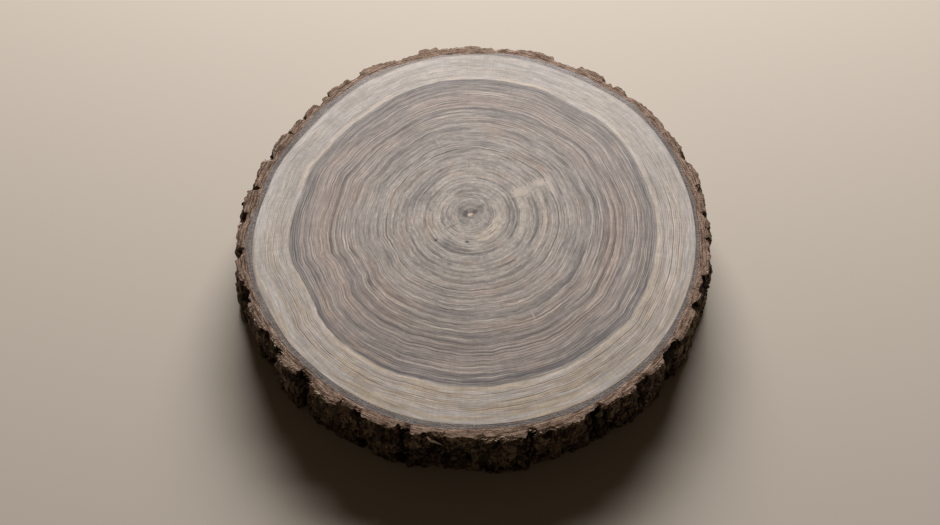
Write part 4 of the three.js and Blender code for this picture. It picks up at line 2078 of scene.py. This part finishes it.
@dataclass
class TornFibres:
    """The pale fibres along the sawn edge of the bark, and one long splinter that hangs below it."""

    shape: TrunkShape
    splinter: tuple[float, float] = (258.8, 263.2)  # from angle, to angle
    splinter_root: float = 150.3  # radius at which it grows out of the bark
    splinter_radius: float = 152.6
    splinter_crest: float = 1.15  # below the sawn face
    splinter_bow: float = 11.0
    splinter_width: float = 1.9
    splinter_steps: int = 22
    per_square_metre: float = 1400000.0
    least: float = 0.9
    greatest: float = 4.2
    width: float = 0.16
    seed: int = 8

    def build(self, bark: Object, material: Material) -> Object:
        """Stands the fibres.

        Args:
            bark: The finished ring of bark.
            material: The fibres' finish.

        Returns:
            The object that holds them all.
        """
        sizes = {
            "Fibres per square metre": self.per_square_metre,
            "Least length": self.least * MM,
            "Greatest length": self.greatest * MM,
            "Width": self.width * MM,
            "Seed": self.seed,
            "Finish": material,
        }
        obj = Piece.sprout("torn_fibres", bark, FibreScatter().tree, sizes)
        self._hang_splinter(obj, obj.data.materials.find(material.name))
        Piece.keep_inside(obj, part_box("bark"))
        return obj

    def _hang_splinter(self, obj: Object, finish: int) -> None:
        """Adds the long splinter to the fibres, as a thin closed strip that bows out from the wall.

        Args:
            obj: The fibres.
            finish: Which of their finishes it takes.
        """
        start, end = self.splinter
        along = np.linspace(0, 1, self.splinter_steps)
        angle = start + (end - start) * along
        height = self.shape.thickness - self.splinter_crest - self.splinter_bow * (along - 0.25) ** 2
        half = self.splinter_width / 2 * (0.08 + np.sin(math.pi * along**0.6) ** 1.2)
        radius = self.splinter_root + (self.splinter_radius - self.splinter_root) * ease(along / 0.36)
        section = ((-0.3, 1.0), (0.9, 0.2), (0.3, -0.8), (-0.6, -0.2))
        sides = [self.shape.around(angle, radius + half * out, height + half * up) for out, up in section]
        built = bmesh.new()
        built.from_mesh(obj.data)
        tone = built.verts.layers.float.get("tone") or built.verts.layers.float.new("tone")
        ring = [[built.verts.new(point) for point in row] for row in np.stack(sides, axis=1)]
        # palest at the root and darker towards the hanging tail: painted light and shade along the splinter
        for row, share in zip(ring, along):
            for vert in row:
                vert[tone] = 1.0 - 0.6 * share**2
        for low, high in zip(ring[:-1], ring[1:]):
            for side in range(len(section)):
                after = (side + 1) % len(section)
                built.faces.new((low[side], high[side], high[after], low[after])).material_index = finish
        for cap in (ring[0], ring[-1][::-1]):
            built.faces.new(cap).material_index = finish
        bmesh.ops.recalc_face_normals(built, faces=built.faces)
        built.to_mesh(obj.data)
        built.free()


@dataclass(frozen=True)
class SoftLight:
    """A broad soft light."""

    name: str
    place: tuple[float, float, float]  # metres
    width: float
    height: float
    power: float
    colour: Rgb = (1.0, 1.0, 1.0)

    def build(self) -> None:
        """Places the light, turned to the slice."""
        data = bpy.data.lights.new(self.name, "AREA")
        data.shape = "RECTANGLE"
        data.size, data.size_y = self.width, self.height
        data.energy = self.power
        data.color = self.colour
        obj = Piece.show(self.name, data)
        obj.location = self.place
        obj.rotation_euler = (-Vector(self.place)).to_track_quat("-Z", "Y").to_euler()


@dataclass
class Studio:
    """The plain floor, the soft light and the camera."""

    floor_size: float = 6.0
    floor_colour: Rgb = srgb(206, 194, 180)
    floor_patches: Rgb = srgb(190, 176, 158)
    ambient: Rgb = (1.0, 0.78, 0.52)
    ambient_strength: float = 0.036
    light: SoftLight = SoftLight("window", (0.06, 1.5, 0.92), 1.35, 0.8, 51.0, (1.0, 0.99, 0.985))
    pitch: float = 58.2  # below the horizon
    distance: float = 840.6
    aim: tuple[float, float] = (-3.38, -28.37)  # on the upper sawn face
    focal_pixels: float = 1330.0
    sensor_width: float = 36.0

    def build(self, shape: TrunkShape) -> None:
        """Makes the floor, the light and the camera.

        Args:
            shape: The slice that they are for.
        """
        half = self.floor_size / 2
        corners = np.array([[-half, -half, 0], [half, -half, 0], [half, half, 0], [-half, half, 0]])
        floor = Piece.mesh("floor", corners, [(0, 1, 2, 3)])
        floor.data.materials.append(self._floor_finish())
        self.light.build()
        world = bpy.data.worlds.new("room")
        world.use_nodes = True
        background = world.node_tree.nodes["Background"]
        background.inputs["Color"].default_value = (*self.ambient, 1.0)
        background.inputs["Strength"].default_value = self.ambient_strength
        scene = bpy.context.scene
        scene.world = world
        scene.view_settings.view_transform = "Standard"
        scene.camera = self._camera(shape)

    def _floor_finish(self) -> Material:
        """Makes the floor's plain pale finish.

        Returns:
            The material.
        """
        graph = Surface("floor")
        soft = graph.noise(graph.place, 3.0)
        colour = graph.mix(graph.times(soft, 0.06), self.floor_colour, self.floor_patches)
        return graph.close(colour, 0.7, soft, 0.0, 0.3)

    def _camera(self, shape: TrunkShape) -> Object:
        """Places the camera by its aim on the upper sawn face, its pitch and its distance.

        Args:
            shape: The slice that it looks at.

        Returns:
            The camera.
        """
        data = bpy.data.cameras.new("camera")
        data.sensor_fit = "HORIZONTAL"
        data.sensor_width = self.sensor_width
        data.lens = self.focal_pixels * self.sensor_width / PHOTO_WIDTH
        data.clip_start, data.clip_end = 0.01, 20.0
        data.dof.use_dof = False
        pitch = math.radians(self.pitch)
        back = np.array([0.0, -math.cos(pitch), math.sin(pitch)]) * self.distance * MM
        camera = Piece.show("camera", data)
        camera.location = Vector(shape.place(*self.aim, shape.thickness) + back)
        camera.rotation_euler = (math.pi / 2 - pitch, 0.0, 0.0)
        return camera


def main() -> None:
    """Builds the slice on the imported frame, piece by piece."""
    logging.basicConfig(level=logging.INFO, format="%(name)s: %(message)s")
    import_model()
    shape = TrunkShape()
    shape.settle(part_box("wood"))
    Studio().build(shape)
    effects = SharedEffects()

    disc = WoodDisc(shape)
    pith = Vector(shape.place(*disc.pith, 0.0))
    wood = disc.build(EndGrainFinish().build(effects, pith))
    Piece.finish(wood, "sawn_wood", "wood")

    bark = BarkRing(shape).build(BarkWallFinish().build(effects), SawnBarkFinish().build(effects))
    Piece.finish(bark, "bark", "bark")
    flakes = BarkFlakes().build(bark, FlakeFinish().build(effects))
    Piece.finish(flakes, "bark")
    fibres = TornFibres(shape).build(bark, TornFibreFinish().build(effects))
    Piece.finish(fibres, "bark")


if __name__ == "__main__":
    main()
